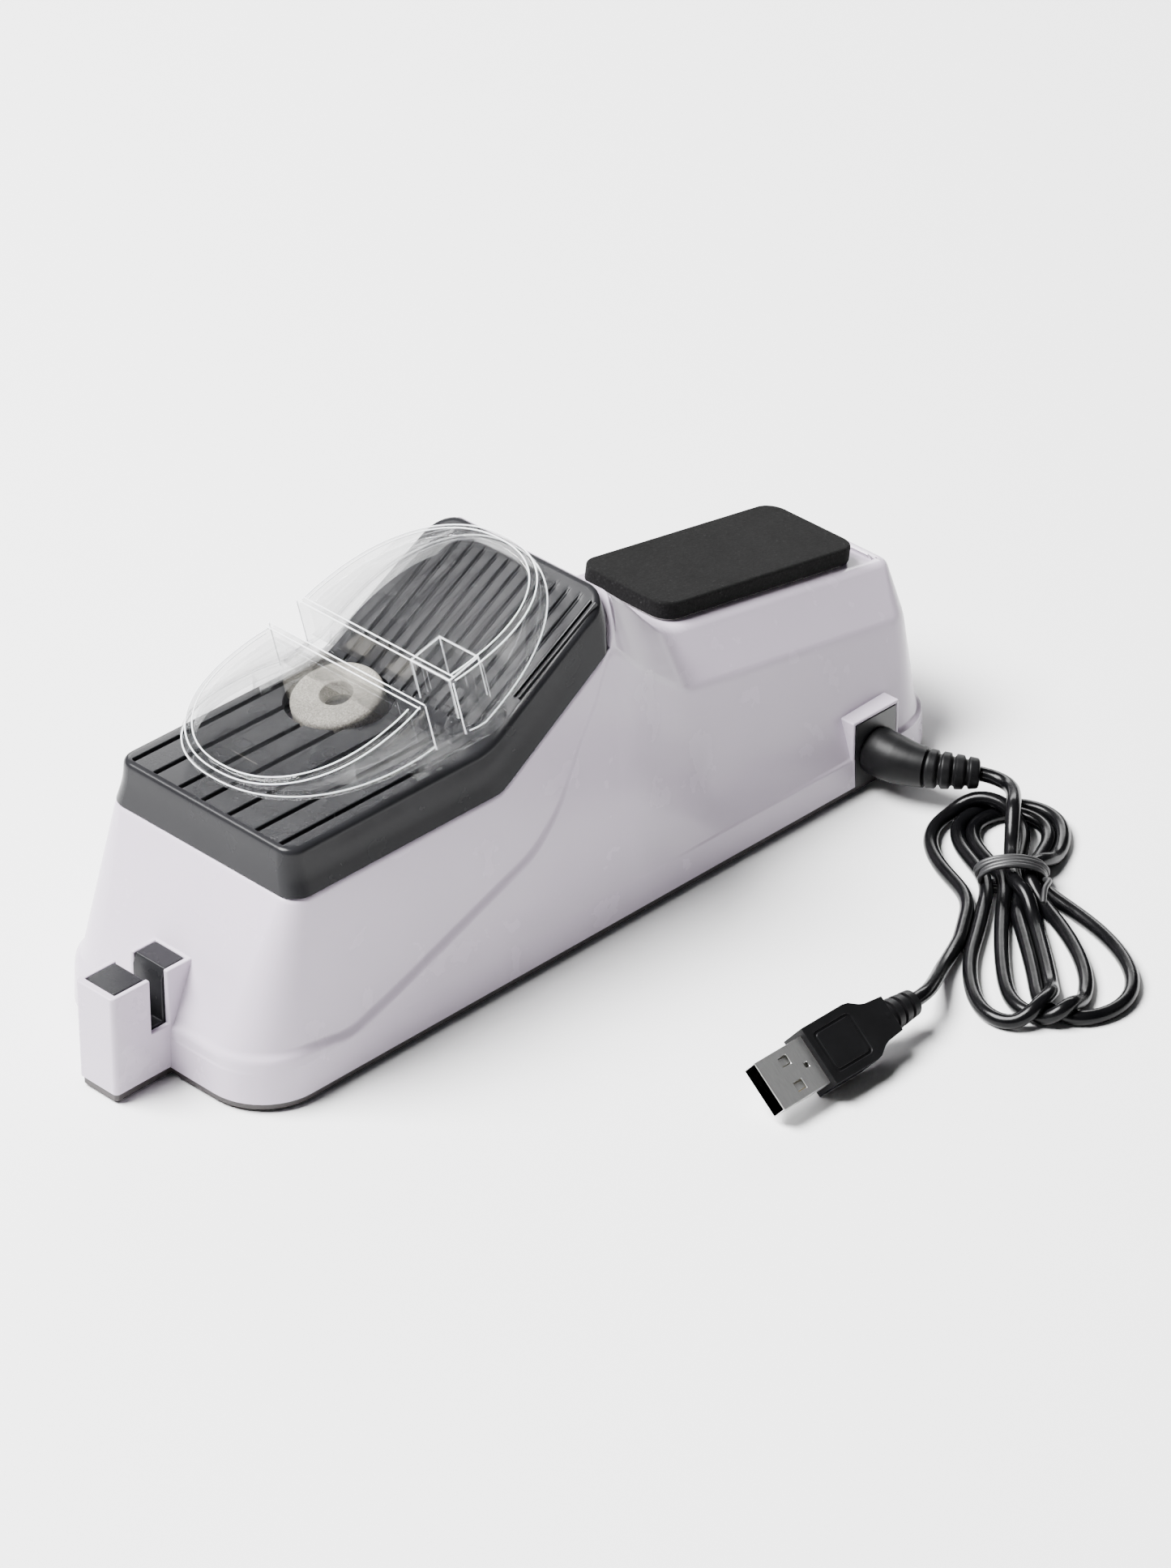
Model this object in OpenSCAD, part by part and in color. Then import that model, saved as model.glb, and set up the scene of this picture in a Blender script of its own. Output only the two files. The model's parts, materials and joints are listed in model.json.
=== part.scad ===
// USB electric knife sharpener: a long housing with a grinding wheel under a clear guard, a hand
// sharpening slot in a block at the front, a flat honing pad at the rear, and a lead that plugs in.
// X runs from the front block (-X) to the socket end (+X), the socket is on the -Y side, Z is up,
// and the origin is on the surface that the feet stand on, under the middle of the housing's box.

/* [Housing] */
// Wall of the white housing
wall = 2.2; // [1.8:0.1:2.6]
// Half width of the housing's foot
foot_half = 35; // [34.5:0.1:35.5]
// Height of the housing's lower edge above the surface
edge_z = 2.5; // [2.3:0.1:2.8]
// Height of the flat part of the dark deck
deck_z = 60; // [59:0.5:61]

/* [Wheel and motor] */
// Radius of the grinding wheel
wheel_r = 10.7; // [10:0.1:11]
// Thickness of the grinding wheel
wheel_t = 8; // [7:0.5:8.5]
// Radius of the hole through the wheel
wheel_hole_r = 3.8; // [3.4:0.1:4]
// Radius of the motor's shaft
shaft_r = 1; // [0.9:0.05:1.1]
// Radial clearance of the shaft in its bushes
shaft_gap = 0.03; // [0.02:0.01:0.08]
// Radius of the motor's can
motor_r = 12.2; // [11.5:0.1:12.4]
// Tilt of the wheel, the motor and the guard about Y
tilt = 14; // [13.5:0.5:14.5]

/* [Guard] */
// Reach of the guard's front lobe from the middle of the knife slot
guard_front = 44.8; // [43.5:0.1:45.2]
// Reach of the guard's rear lobe from the middle of the knife slot
guard_rear = 46.3; // [45:0.1:46.8]
// Half width of the guard
guard_half = 25.1; // [24.6:0.1:25.4]
// Wall of the clear moulding
guard_wall = 1.8; // [1.5:0.1:2]
// Width of the slot that the knife goes down
knife_gap = 8.7; // [8:0.1:9]

/* [Pad] */
// Length of the honing pad
pad_len = 65.4; // [64:0.1:67]
// Width of the honing pad
pad_width = 28.6; // [27:0.1:30]
// Thickness of the honing pad
pad_t = 4.4; // [3.5:0.1:5]
// Corner radius of the honing pad
pad_r = 5; // [3:0.5:6]

/* [Lead] */
// Diameter of the lead
cord_d = 3.5; // [3.2:0.1:3.8]
// Roll of the USB plug as it lies on its edge
usb_roll = 40; // [35:1:42]

/* [Hidden] */
$fn = 48;

far = 300;
arc_steps = 6;

// Levels of the housing, bottom to top: [front x, rear x, front corner radius, rear corner radius]
levels = [
    [-103, 119, 15, 17],
    [-102.8, 118.8, 15, 17],
    [-102.6, 117.6, 14.8, 16.5],
    [-102.5, 117, 14.6, 9],
    [-101.3, 116.8, 14, 8.5],
    [-87.1, 116.3, 5, 3]];
skirt_z = 10;
// Crease that parts the skirt and the upper wall: [x, z]
crease = [[-88, 13.4], [-75, 11.3], [-61, 15.4], [-17, 30.3], [-8, 38], [0.5, 53], [7, 60],
    [9.5, 71], [15, 66], [25, 56], [38.5, 45], [107, 33.4], [119, 31.5]];
// Upper rim of the housing: [x, z, half width]
rim = [[-87, 48.9, 30.1], [-24.6, 48.9, 30.1], [11, 69.8, 28.3], [13, 77, 27.5], [14.5, 81, 23],
    [19, 77, 21], [23.5, 73, 20], [27.5, 69, 19], [31.6, 64.5, 18], [37.6, 58.5, 17],
    [42, 56.1, 16.5], [113, 44.1, 16.5], [119, 43.1, 16.5]];
rim_z = [for (p = rim) [p[0], p[1]]];
rim_half = [for (p = rim) [p[0], p[2]]];
// Half width just under and just over the crease, aft of the hump: [x, half width]
under_half = [[9.5, 28.4], [15, 28.7], [25, 27], [38.5, 25.4], [119, 25.4]];
over_half = [[9.5, 28.1], [15, 28.2], [25, 26.6], [38.5, 24.8], [119, 24.8]];
// Width of the ledge on top of the skirt: [x, width]
ledge = [[2, 0], [85, 0.6], [119, 1.5]];
hump_x = 9.5;
// Stations along the straight sides
side_x = [-80, -75, -68, -61, -50, -38, -24.6, -17, -8, -3.5, 0.5, 4, 7, 9.5, 11, 13, 14.5, 17, 19,
    23.5, 27.5, 31.6, 37.6, 42, 60, 85, 101];

deck_front = -86;
deck_slope = 0.589;
deck_bend_x = -26;
deck_rear = 12.9;
deck_wall = 2.2;
deck_side_x = [-80, -60, -40, -26, -20, -10, 0, 5];
front_grooves = [-23.2, -15.6, -6.9, 1.4, 8.7, 16.8, 24.1];
slope_pitch = 3.7;
slope_grooves = 12;

block_x = -119;
block_half = 6.1;
block_top = 27.8;
slot_x = [-108, -103];
slot_z = 13.9;
insert_x = [-117, -96.6];
insert_half = 4.6;
insert_top = 27.3;
fit = 0.1;

socket_x = [85.4, 98.9];
socket_top = 19.1;
plug_at = [92, -35, 10];
barrel_r = 2.75;
barrel_hole_r = 1.1;

wheel_at = [-36.4, 10.2, 62.3];
wheel_gap = 1.5;
can_top = -16;
can_len = 31;
// Ends of the motor's shaft along the wheel's axis
shaft_ends = [can_top - can_len - 1.2, -6.5];

guard_at = [-38.4, 0, 78.2];
guard_lift = 4.5;
guard_slot_depth = 9.5;
pad_tilt = 9.6;
pad_at = [42.5, 56];
pad_tape_t = 0.5;

boss_at = [[-78, -27], [-78, 27], [76, -27], [92, 27]];
feet_at = [[-86, -22], [-86, 22], [100, -22], [100, 22]];
switch_z = 22;
switch_pin_x = 115;
rocker_rest = -8;
board_at = [48, -14, 5.5];
board_size = [34, 24, 1.6];

cord_r = cord_d / 2;
tie_at = [81.4, -87.3];
tie_turn = 46;
hank_h = 10;
usb_at = [24, -109, 7.7];
// Route of the lead from the plug to the hank, over the upper loops
dc_route = [[101.87, -58.88, 9.5], [102.8, -60, 9.4], [103.9, -62.6, 9.2], [103.6, -66, 9],
    [101, -70, 9.9], [96.5, -74, 10.8], [91, -78.5, 10.8], [87.5, -81.5, 9.8], [84.5, -84, 7.6]];
// Route of the lead from the hank to the USB plug
usb_route = [[71.5, -87, 1.75], [67, -88.8, 1.75], [62, -91, 1.75], [56, -94.2, 1.75],
    [49.5, -97.2, 2], [43, -100.4, 3], [37, -104, 4.8], [31.5, -107.4, 6.8], [27.5, -108.85, 7.62],
    [24.1, -109, 7.7]];
// Centre line of the plug's moulding with its radius: [x, y, z, radius]
plug_route = [[92, -35.1, 10, 5.9], [92, -38.5, 10, 5.9], [92.3, -42, 10, 5.7], [93.3, -46, 10, 5.1],
    [95, -50, 10, 4.6], [97.2, -53.4, 9.9, 4.3], [99.6, -56.4, 9.7, 4], [101.8, -58.8, 9.5, 3.6]];

// ---- Shape helpers ----

// Points of an arc, from angle a to angle b
function arc(x, y, r, a, b, n = arc_steps) =
    [for (i = [0:n]) let (t = a + (b - a) * i / n) [x + r * cos(t), y + r * sin(t)]];

// A loop with its mirror image across Y, from half of it on the -Y side
function with_mirror(half) =
    concat(half, [for (i = [len(half) - 1:-1:0]) [half[i][0], -half[i][1], half[i][2]]]);

// Closed solid through loops of equal, even count, bottom to top, capped by strips across Y
module loft(rings) {
    n = len(rings[0]);
    top = (len(rings) - 1) * n;
    sides = [for (k = [0:len(rings) - 2], i = [0:n - 1])
        let (a = k * n + i, b = k * n + (i + 1) % n, c = b + n, d = a + n) each [[a, d, c], [a, c, b]]];
    caps = [for (i = [0:n / 2 - 2])
        let (a = i, b = i + 1, c = n - 2 - i, d = n - 1 - i)
        each [[a, c, d], [a, b, c], [top + a, top + d, top + c], [top + a, top + c, top + b]]];
    polyhedron(points = [for (r = rings) each r], faces = concat(sides, caps));
}

// Plain tube of the given radii along a route, its ends square to the route
module tube(route, radii, n = 8) {
    last = len(route) - 1;
    rings = [for (i = [0:last])
        let (d = route[min(i + 1, last)] - route[max(i - 1, 0)],
            t = d / norm(d),
            s = cross(t, [0, 0, 1]) / norm(cross(t, [0, 0, 1])),
            u = cross(s, t))
        [for (j = [0:n - 1]) let (q = 360 * j / n) route[i] + radii[i] * (cos(q) * s + sin(q) * u)]];
    loft(rings);
}

// A route made smooth: each span is cut in steps along a Catmull-Rom curve
function smooth(p, steps = 2) =
    let (last = len(p) - 1)
    concat([for (i = [0:last - 1], k = [0:steps - 1])
        let (t = k / steps, a = p[max(i - 1, 0)], b = p[i], c = p[i + 1], d = p[min(i + 2, last)])
        0.5 * (2 * b + (c - a) * t + (2 * a - 5 * b + 4 * c - d) * t * t
            + (3 * b - a - 3 * c + d) * t * t * t)],
        [p[last]]);

module rounded_bar(x0, x1, half, z0, z1, r) {
    translate([0, 0, z0])
        linear_extrude(z1 - z0)
            polygon(concat(
                arc(x0 + r, -half + r, r, 270, 180, 5),
                arc(x0 + r, half - r, r, 180, 90, 5),
                arc(x1 - r, half - r, r, 90, 0, 5),
                arc(x1 - r, -half + r, r, 0, -90, 5)));
}

module span(low, high) {
    translate(low)
        cube(high - low);
}

module on_wheel() {
    translate(wheel_at)
        rotate([0, -tilt, 0])
            children();
}

module on_guard() {
    translate(guard_at)
        rotate([0, -tilt, 0])
            children();
}

// Everything above the deck's surface, lifted by some height
module above_deck(lift, thick = far) {
    bend = [deck_bend_x, deck_z + lift];
    crest = [deck_bend_x + 60, deck_z + lift + 60 * deck_slope];
    rotate([90, 0, 0])
        translate([0, 0, -far])
            linear_extrude(2 * far)
                polygon([[-far, bend[1]], bend, crest, [crest[0], crest[1] + thick],
                    [bend[0], bend[1] + thick], [-far, bend[1] + thick]]);
}

// ---- Housing ----

function rim_at(x, inset) =
    inset == 0 ? lookup(x, rim_z) : min([for (d = [-2:1:2]) lookup(x + d, rim_z)]) - inset;

function level_z(k, x, inset) =
    let (top = rim_at(x, inset), c = lookup(x, crease))
    k == 0 ? (inset == 0 ? edge_z : -1) :
    k == 1 ? skirt_z :
    k == 2 ? skirt_z + 0.4 :
    k == 3 ? min(c - 0.5, top - 1.5) :
    k == 4 ? min(c + 0.8, top - 0.7) : top;

function level_half(k, x) =
    let (c = lookup(x, crease))
    k == 0 ? foot_half :
    k == 1 ? foot_half - 0.25 :
    k == 2 ? foot_half - 0.25 - lookup(x, ledge) :
    k == 3 ? (x < hump_x ? foot_half - 0.25 - 0.105 * (c - skirt_z) : lookup(x, under_half)) :
    k == 4 ? (x < hump_x ? 33.2 - 0.085 * (c - 12.2) : lookup(x, over_half)) : lookup(x, rim_half);

function level_ring(k, inset) =
    let (x0 = levels[k][0] + inset, x1 = levels[k][1] - inset,
        r0 = max(levels[k][2] - inset, 1), r1 = max(levels[k][3] - inset, 1),
        h0 = level_half(k, x0 + r0) - inset, h1 = level_half(k, x1 - r1) - inset,
        half = concat(arc(x0 + r0, -h0 + r0, r0, 180, 270),
            [for (x = side_x) [x, -level_half(k, x) + inset]],
            arc(x1 - r1, -h1 + r1, r1, 270, 360)))
    with_mirror([for (p = half) [p[0], p[1], level_z(k, p[0], inset)]]);

module housing_form(inset) {
    loft([for (k = [0:len(levels) - 1]) level_ring(k, inset)]);
}

module upper_shell() {
    opening_half = 25.6;
    hood = 1;
    color([0.86, 0.84, 0.88]) {
        difference() {
            union() {
                housing_form(0);
                rounded_bar(block_x, -94, block_half, edge_z, block_top, 1.2);
                span([socket_x[0] - hood, -34.9, edge_z], [socket_x[1] + hood, -26, socket_top + hood]);
            }
            housing_form(wall);
            // Opening under the deck
            span([-82, -opening_half, 40], [8, opening_half, far]);
            // Pocket for the insert, open below, and the slot across the block
            span([insert_x[0] - fit, -insert_half - fit, -1], [insert_x[1] + fit, insert_half + fit, far]);
            span([slot_x[0], -20, slot_z], [slot_x[1], 20, far]);
            // Pocket for the socket
            span([socket_x[0] - fit, -40, -1], [socket_x[1] + fit, -20, socket_top + fit]);
            // Cut-out for the switch
            span([100, -9.6, switch_z - 6.6], [130, 9.6, switch_z + 6.6]);
        }
        for (p = boss_at)
            difference() {
                span([p[0] - 4, min(p[1], sign(p[1]) * 32.6) - (p[1] < 0 ? 0 : 4), edge_z],
                    [p[0] + 4, max(p[1], sign(p[1]) * 32.6) + (p[1] < 0 ? 4 : 0), 14]);
                translate([p[0], p[1], 0])
                    cylinder(r = 1.3, h = 13);
            }
    }
}

module base_outline(inset) {
    k = level_ring(0, 0);
    polygon([for (p = k) [p[0] * (1 - inset / 119), p[1] * (1 - inset / foot_half)]]);
}

module base_plate() {
    bottom = 0.8;
    color([0.16, 0.14, 0.14])
        difference() {
            union() {
                translate([0, 0, bottom])
                    linear_extrude(edge_z - bottom)
                        base_outline(0.6);
                rounded_bar(block_x + 0.5, -95, block_half - 0.5, bottom, edge_z, 1);
            }
            for (p = boss_at)
                translate([p[0], p[1], bottom]) {
                    translate([0, 0, -1])
                        cylinder(r = 1.5, h = 5);
                    cylinder(r1 = 2.9, r2 = 1.5, h = 1.4);
                }
            for (p = feet_at)
                translate([p[0], p[1], bottom - 1])
                    cylinder(r = 6.1, h = 1.6);
        }
}

module rubber_feet() {
    color([0.1, 0.1, 0.1])
        for (p = feet_at)
            translate([p[0], p[1], 0])
                rotate_extrude()
                    polygon([[0, 0], [5.4, 0], [6, 0.6], [6, 1.4], [0, 1.4]]);
}

module base_screws() {
    color([0.6, 0.6, 0.62])
        for (p = boss_at)
            translate([p[0], p[1], 0.85]) {
                difference() {
                    cylinder(r1 = 2.75, r2 = 1.25, h = 1.4);
                    for (q = [0, 90])
                        rotate([0, 0, q])
                            translate([-1.6, -0.3, -1])
                                cube([3.2, 0.6, 1.8]);
                }
                translate([0, 0, 1.4])
                    cylinder(r = 1.25, h = 9.5);
            }
}

// ---- Deck ----

function deck_ring(z_lift, half_front, half_rear, x0, x1, r0, r1, follow) =
    let (h = function (x) half_front + (half_rear - half_front) * max(0, min(1, (x + 24.6) / 36)),
        z = function (x) z_lift
            + (follow ? lookup(x, rim_z) : deck_z + max(0, (x - deck_bend_x) * deck_slope)),
        half = concat(arc(x0 + r0, -h(x0) + r0, r0, 180, 270), [for (x = deck_side_x) [x, -h(x)]],
            arc(x1 - r1, -h(x1) + r1, r1, 270, 360)))
    with_mirror([for (p = half) [p[0], p[1], z(p[0])]]);

module deck_form() {
    loft([deck_ring(0, 30.1, 28.3, -87.1, 10.8, 5, 2, true),
        deck_ring(-5.5, 28.3, 27.4, deck_front - 0.3, deck_rear - 0.1, 4.6, 4, false),
        deck_ring(0, 27.9, 26.5, deck_front, deck_rear, 4.5, 7, false)]);
}

module deck_core() {
    loft([deck_ring(-3, 30.1 - deck_wall, 28.3 - deck_wall, -87.1 + deck_wall, 10.8 - deck_wall,
            3, 1, true),
        deck_ring(-deck_wall, 27.9 - deck_wall, 26.5 - deck_wall, deck_front + deck_wall,
            deck_rear - deck_wall - 1, 2.5, 3, false)]);
}

module deck_cover() {
    groove = 0.8;
    color([0.22, 0.22, 0.23]) {
        difference() {
            deck_form();
            deck_core();
            on_wheel()
                translate([0, 0, -20])
                    cylinder(r = wheel_r + wheel_gap, h = 40);
            for (y = front_grooves)
                span([deck_front + 0.6, y - 0.7, deck_z - groove], [deck_bend_x, y + 0.7, far]);
            for (i = [0:slope_grooves - 1])
                translate([deck_bend_x, (i - slope_grooves / 2 + 0.5) * slope_pitch, deck_z])
                    rotate([0, -atan(deck_slope), 0])
                        span([2, -0.5, -0.5], [41, 0.5, 5]);
        }
        // Ridge beside the slope, and the tongues that snap inside the housing's rim
        for (y = [-25.4, -23.9])
            translate([deck_bend_x, y, deck_z])
                rotate([0, -atan(deck_slope), 0])
                    span([13, -0.3, -0.5], [41, 0.3, 0.8]);
        for (x = [-78, -54], s = [-1, 1])
            span([x, s * 25.4 - (s > 0 ? 1.6 : 0), 45], [x + 10, s * 25.4 + (s > 0 ? 0 : 1.6), 58.4]);
    }
}

// ---- Clear guard ----

// Rounded end of a lobe: an oval a little fuller than an ellipse, from angle -turn to turn
function lobe(middle, a, b, turn, n = 24) =
    [for (i = [0:n]) let (q = turn * (2 * i / n - 1), c = cos(q), s = sin(q))
        [middle + sign(a) * abs(a) * sign(c) * pow(abs(c), 0.89), sign(a) * b * sign(s) * pow(abs(s), 0.89)]];

module oval_bar(grow, top, bottom) {
    front_a = 29.8;
    rear_a = 32.6;
    translate([0, 0, bottom])
        linear_extrude(top - bottom)
            polygon(concat(
                lobe(guard_rear - rear_a, rear_a + grow, guard_half + grow, 106),
                lobe(front_a - guard_front, -front_a - grow, guard_half + grow, 111)));
}

module clear_cover() {
    s0 = -knife_gap / 2;
    s1 = knife_gap / 2;
    post = [[5, -23.1], [14, -10.8]];
    color([0.8, 0.85, 0.88, 0.4]) {
        // Two lobes: roof, oval wall and the rim along its lower edge
        difference() {
            intersection() {
                on_guard()
                    oval_bar(0, 0, -40);
                above_deck(guard_lift);
            }
            on_guard() {
                oval_bar(-guard_wall, -guard_wall, -60);
                span([s0, -40, -guard_slot_depth - 2], [s1, 40, 5]);
            }
        }
        difference() {
            intersection() {
                on_guard()
                    oval_bar(1, -0.5, -40);
                above_deck(guard_lift, 1.8);
            }
            on_guard()
                oval_bar(-guard_wall, 10, -60);
        }
        // Walls of the knife slot
        on_guard()
            intersection() {
                oval_bar(-0.3, 0, -20);
                union() {
                    span([s0 - 1.5, -40, -guard_slot_depth], [s0, 40, 0]);
                    span([s1, -40, -guard_slot_depth], [s1 + 1.5, 40, 0]);
                }
            }
        // Hollow post beside the slot
        difference() {
            on_guard()
                difference() {
                    span([post[0][0] - 0.6, post[0][1], -13], [post[1][0], post[1][1], 0]);
                    span([post[0][0] + 0.8, post[0][1] + 1.4, -30],
                        [post[1][0] - 1.4, post[1][1] - 1.4, -1.4]);
                }
            mirror([0, 0, 1])
                translate([0, 0, -deck_z - guard_lift])
                    cylinder(r = far, h = far);
        }
        // Rails under the slot's ends, and the legs that stand on the deck
        intersection() {
            for (s = [-1, 1]) {
                span([-47, s * 24.6 - 1, 61.5], [-19, s * 24.6 + 1, 66]);
                span([-46.5, s * 25 - 1.4, 55], [-43, s * 25 + 1.4, 66]);
                span([-23, s * 25 - 1.4, 55], [-19.5, s * 25 + 1.4, 68]);
            }
            above_deck(0.2);
        }
        // Small V guide at the near end of the slot
        for (q = [-24, 24])
            translate([-33.6, -21.6, 63])
                rotate([0, q, 0])
                    span([-0.6, -3, 0], [0.6, 1, 5]);
    }
}

// ---- Wheel, motor and their support ----

module ring(r_out, r_in, z0, z1) {
    translate([0, 0, z0])
        difference() {
            cylinder(r = r_out, h = z1 - z0);
            translate([0, 0, -1])
                cylinder(r = r_in, h = z1 - z0 + 2);
        }
}

module grinding_wheel() {
    round_r = 1.2;
    color([0.78, 0.8, 0.76])
        on_wheel()
            rotate_extrude()
                polygon(concat([[wheel_hole_r, 0], [wheel_hole_r, -wheel_t]],
                    arc(wheel_r - round_r, -wheel_t + round_r, round_r, -90, 0, 4),
                    arc(wheel_r - round_r, -round_r, round_r, 0, 90, 4)));
}

module wheel_hub() {
    color([0.3, 0.3, 0.32])
        on_wheel()
            difference() {
                union() {
                    translate([0, 0, -wheel_t])
                        cylinder(r = wheel_hole_r - 0.05, h = 4);
                    ring(8.6, 1, -wheel_t - 1.4, -wheel_t);
                    ring(4, 1, -13.2, -wheel_t - 1);
                }
                translate([0, 0, -14])
                    cylinder(r = shaft_r, h = 8);
                translate([0, 0, -11.2])
                    rotate([0, 90, 0])
                        cylinder(r = 1.05, h = 10);
            }
}

module hub_grub_screw() {
    color([0.2, 0.2, 0.2])
        on_wheel()
            translate([shaft_r + 0.05, 0, -11.2])
                rotate([0, 90, 0])
                    difference() {
                        cylinder(r = 1, h = 2.8);
                        translate([0, 0, 1.8])
                            cylinder(r = 0.5, h = 2, $fn = 6);
                    }
}

module motor_shaft() {
    color([0.75, 0.75, 0.78])
        on_wheel()
            translate([0, 0, shaft_ends[0]])
                cylinder(r = shaft_r, h = shaft_ends[1] - shaft_ends[0]);
}

module rotor_core() {
    color([0.55, 0.42, 0.25])
        on_wheel()
            difference() {
                ring(8.2, shaft_r, can_top - 20, can_top - 6);
                for (q = [0, 120, 240])
                    rotate([0, 0, q])
                        span([3.4, -1.6, can_top - 30], [10, 1.6, can_top]);
            }
}

module commutator() {
    color([0.8, 0.5, 0.3])
        on_wheel()
            ring(2.6, shaft_r, can_top - 27, can_top - 21.5);
}

module motor_can() {
    color([0.62, 0.63, 0.65])
        on_wheel()
            difference() {
                translate([0, 0, can_top - can_len])
                    cylinder(r = motor_r, h = can_len);
                translate([0, 0, can_top - can_len - 1])
                    cylinder(r = motor_r - 0.9, h = can_len);
                translate([0, 0, can_top - 5])
                    cylinder(r = 3, h = 9);
                for (s = [-1, 1])
                    translate([0, s * 8, can_top - 5])
                        cylinder(r = 0.85, h = 9);
            }
}

module motor_magnets() {
    color([0.25, 0.25, 0.27])
        on_wheel()
            difference() {
                ring(motor_r - 0.95, 8.9, can_top - 22, can_top - 4);
                for (s = [-1, 1])
                    span([s * 6 - 6, -3, can_top - 40], [s * 6 + 6, 3, can_top]);
            }
}

module motor_end_cap() {
    color([0.92, 0.92, 0.9])
        on_wheel()
            ring(motor_r - 0.95, 3, can_top - can_len, can_top - can_len + 2.4);
}

module motor_bushes() {
    color([0.75, 0.6, 0.35])
        on_wheel()
            for (z = [can_top - 2.6, can_top - can_len - 0.6])
                ring(2.95, shaft_r + shaft_gap, z, z + 3);
}

module motor_brushes() {
    color([0.7, 0.45, 0.25])
        on_wheel()
            for (s = [-1, 1])
                span([-1.2, min(s * 2.7, s * 7.5), can_top - can_len + 2.4],
                    [1.2, max(s * 2.7, s * 7.5), can_top - 24]);
}

module motor_bracket() {
    leg = 2.4;
    plate = 1.8;
    half = motor_r + 0.4;
    foot_margin = leg + 1;
    color([0.2, 0.2, 0.21]) {
        difference() {
            on_wheel()
                rotate([90, 0, 90])
                    translate([0, 0, -9])
                        linear_extrude(18)
                            polygon([[-half - leg, -90], [-half, -90], [-half, can_top], [half, can_top],
                                [half, -90], [half + leg, -90], [half + leg, can_top + plate],
                                [-half - leg, can_top + plate]]);
            on_wheel() {
                translate([0, 0, can_top - 1])
                    cylinder(r = 4.6, h = 6);
                for (s = [-1, 1])
                    translate([0, s * 8, can_top - 1])
                        cylinder(r = 1.1, h = 6);
            }
            span([-far, -far, -far], [far, far, edge_z + 1]);
        }
        span([-36, wheel_at[1] - half - foot_margin, edge_z],
            [-9, wheel_at[1] + half + foot_margin, edge_z + 2]);
    }
}

module motor_screws() {
    color([0.6, 0.6, 0.62])
        on_wheel()
            for (s = [-1, 1])
                translate([0, s * 8, can_top + 1.8]) {
                    cylinder(r = 1.7, h = 1);
                    translate([0, 0, -4.2])
                        cylinder(r = 0.8, h = 4.2);
                }
}

// ---- Electrics ----

module circuit_board() {
    color([0.1, 0.4, 0.2])
        difference() {
            union() {
                span(board_at, board_at + board_size);
                for (x = [4, board_size[0] - 4], y = [4, board_size[1] - 4])
                    translate([board_at[0] + x, board_at[1] + y, edge_z])
                        cylinder(r = 2.4, h = board_at[2] - edge_z);
                translate(board_at + [9, 15, board_size[2]])
                    cylinder(r = 3, h = 8);
                span(board_at + [15, 5, board_size[2]], board_at + [23, 12, board_size[2] + 1.6]);
                span(board_at + [27, 7, board_size[2]], board_at + [32, 17, board_size[2] + 5]);
                span(board_at + [2, 8, board_size[2]], board_at + [6, 12, board_size[2] + 4]);
            }
            for (x = [4, board_size[0] - 4], y = [4, board_size[1] - 4])
                translate([board_at[0] + x, board_at[1] + y, edge_z - 1])
                    cylinder(r = 1, h = 10);
        }
}

module board_screws() {
    color([0.6, 0.6, 0.62])
        for (x = [4, board_size[0] - 4], y = [4, board_size[1] - 4])
            translate([board_at[0] + x, board_at[1] + y, edge_z]) {
                cylinder(r = 0.95, h = board_size[2] + board_at[2] - edge_z);
                translate([0, 0, board_size[2] + board_at[2] - edge_z])
                    cylinder(r = 1.8, h = 1.1);
            }
}

module dc_socket() {
    color([0.08, 0.08, 0.08])
        difference() {
            span([socket_x[0], -foot_half, edge_z], [socket_x[1], -22, socket_top]);
            translate(plug_at)
                rotate([90, 0, 0])
                    translate([0, 0, -9.5])
                        cylinder(r = barrel_r + 0.05, h = 12);
        }
}

module socket_pin() {
    color([0.8, 0.7, 0.4])
        translate(plug_at + [0, 9.5, 0])
            rotate([90, 0, 0])
                cylinder(r = barrel_hole_r - 0.1, h = 8.5);
}

module switch_frame() {
    color([0.08, 0.08, 0.08])
        difference() {
            union() {
                span([117.5, -10.5, switch_z - 7.5], [119, 10.5, switch_z + 7.5]);
                span([106, -9.5, switch_z - 6.5], [117.5, 9.5, switch_z + 6.5]);
            }
            span([109, -8, switch_z - 5], [125, 8, switch_z + 5]);
            translate([switch_pin_x, 0, switch_z])
                rotate([90, 0, 0])
                    translate([0, 0, -9.2])
                        cylinder(r = 1.05, h = 18.4);
        }
}

module switch_rocker() {
    color([0.08, 0.08, 0.08])
        translate([switch_pin_x, 0, switch_z])
            rotate([90, rocker_rest, 0]) {
                translate([0, 0, -7.7])
                    linear_extrude(15.4)
                        polygon([[-1.6, -3.4], [-1.6, 3.4], [3.4, 4.2], [2.2, 0], [3.4, -4.2]]);
                translate([0, 0, -9])
                    cylinder(r = 1, h = 18);
            }
}

module motor_leads() {
    for (s = [0, 1])
        color(s == 0 ? [0.8, 0.1, 0.1] : [0.1, 0.1, 0.1])
            tube(smooth([[-22, 6 + 8 * s, 12.5], [-14, 6 + 8 * s, 10], [0, 2 + 5 * s, 6.5],
                [20, -2 + 4 * s, 5.5], [38, -4 + 3 * s, 8], [49.5, -3.6 + 1.6 * s, 11.2]], 3),
                [for (i = [0:15]) 0.75], 6);
}

module switch_leads() {
    for (s = [0, 1])
        color(s == 0 ? [0.8, 0.1, 0.1] : [0.1, 0.1, 0.1])
            tube(smooth([[105.9, 3 - 6 * s, 20], [100, 3 - 6 * s, 18], [92, 2 - 4 * s, 13],
                [84, 1 - 3 * s, 12.5]], 3), [for (i = [0:9]) 0.75], 6);
}

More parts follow.
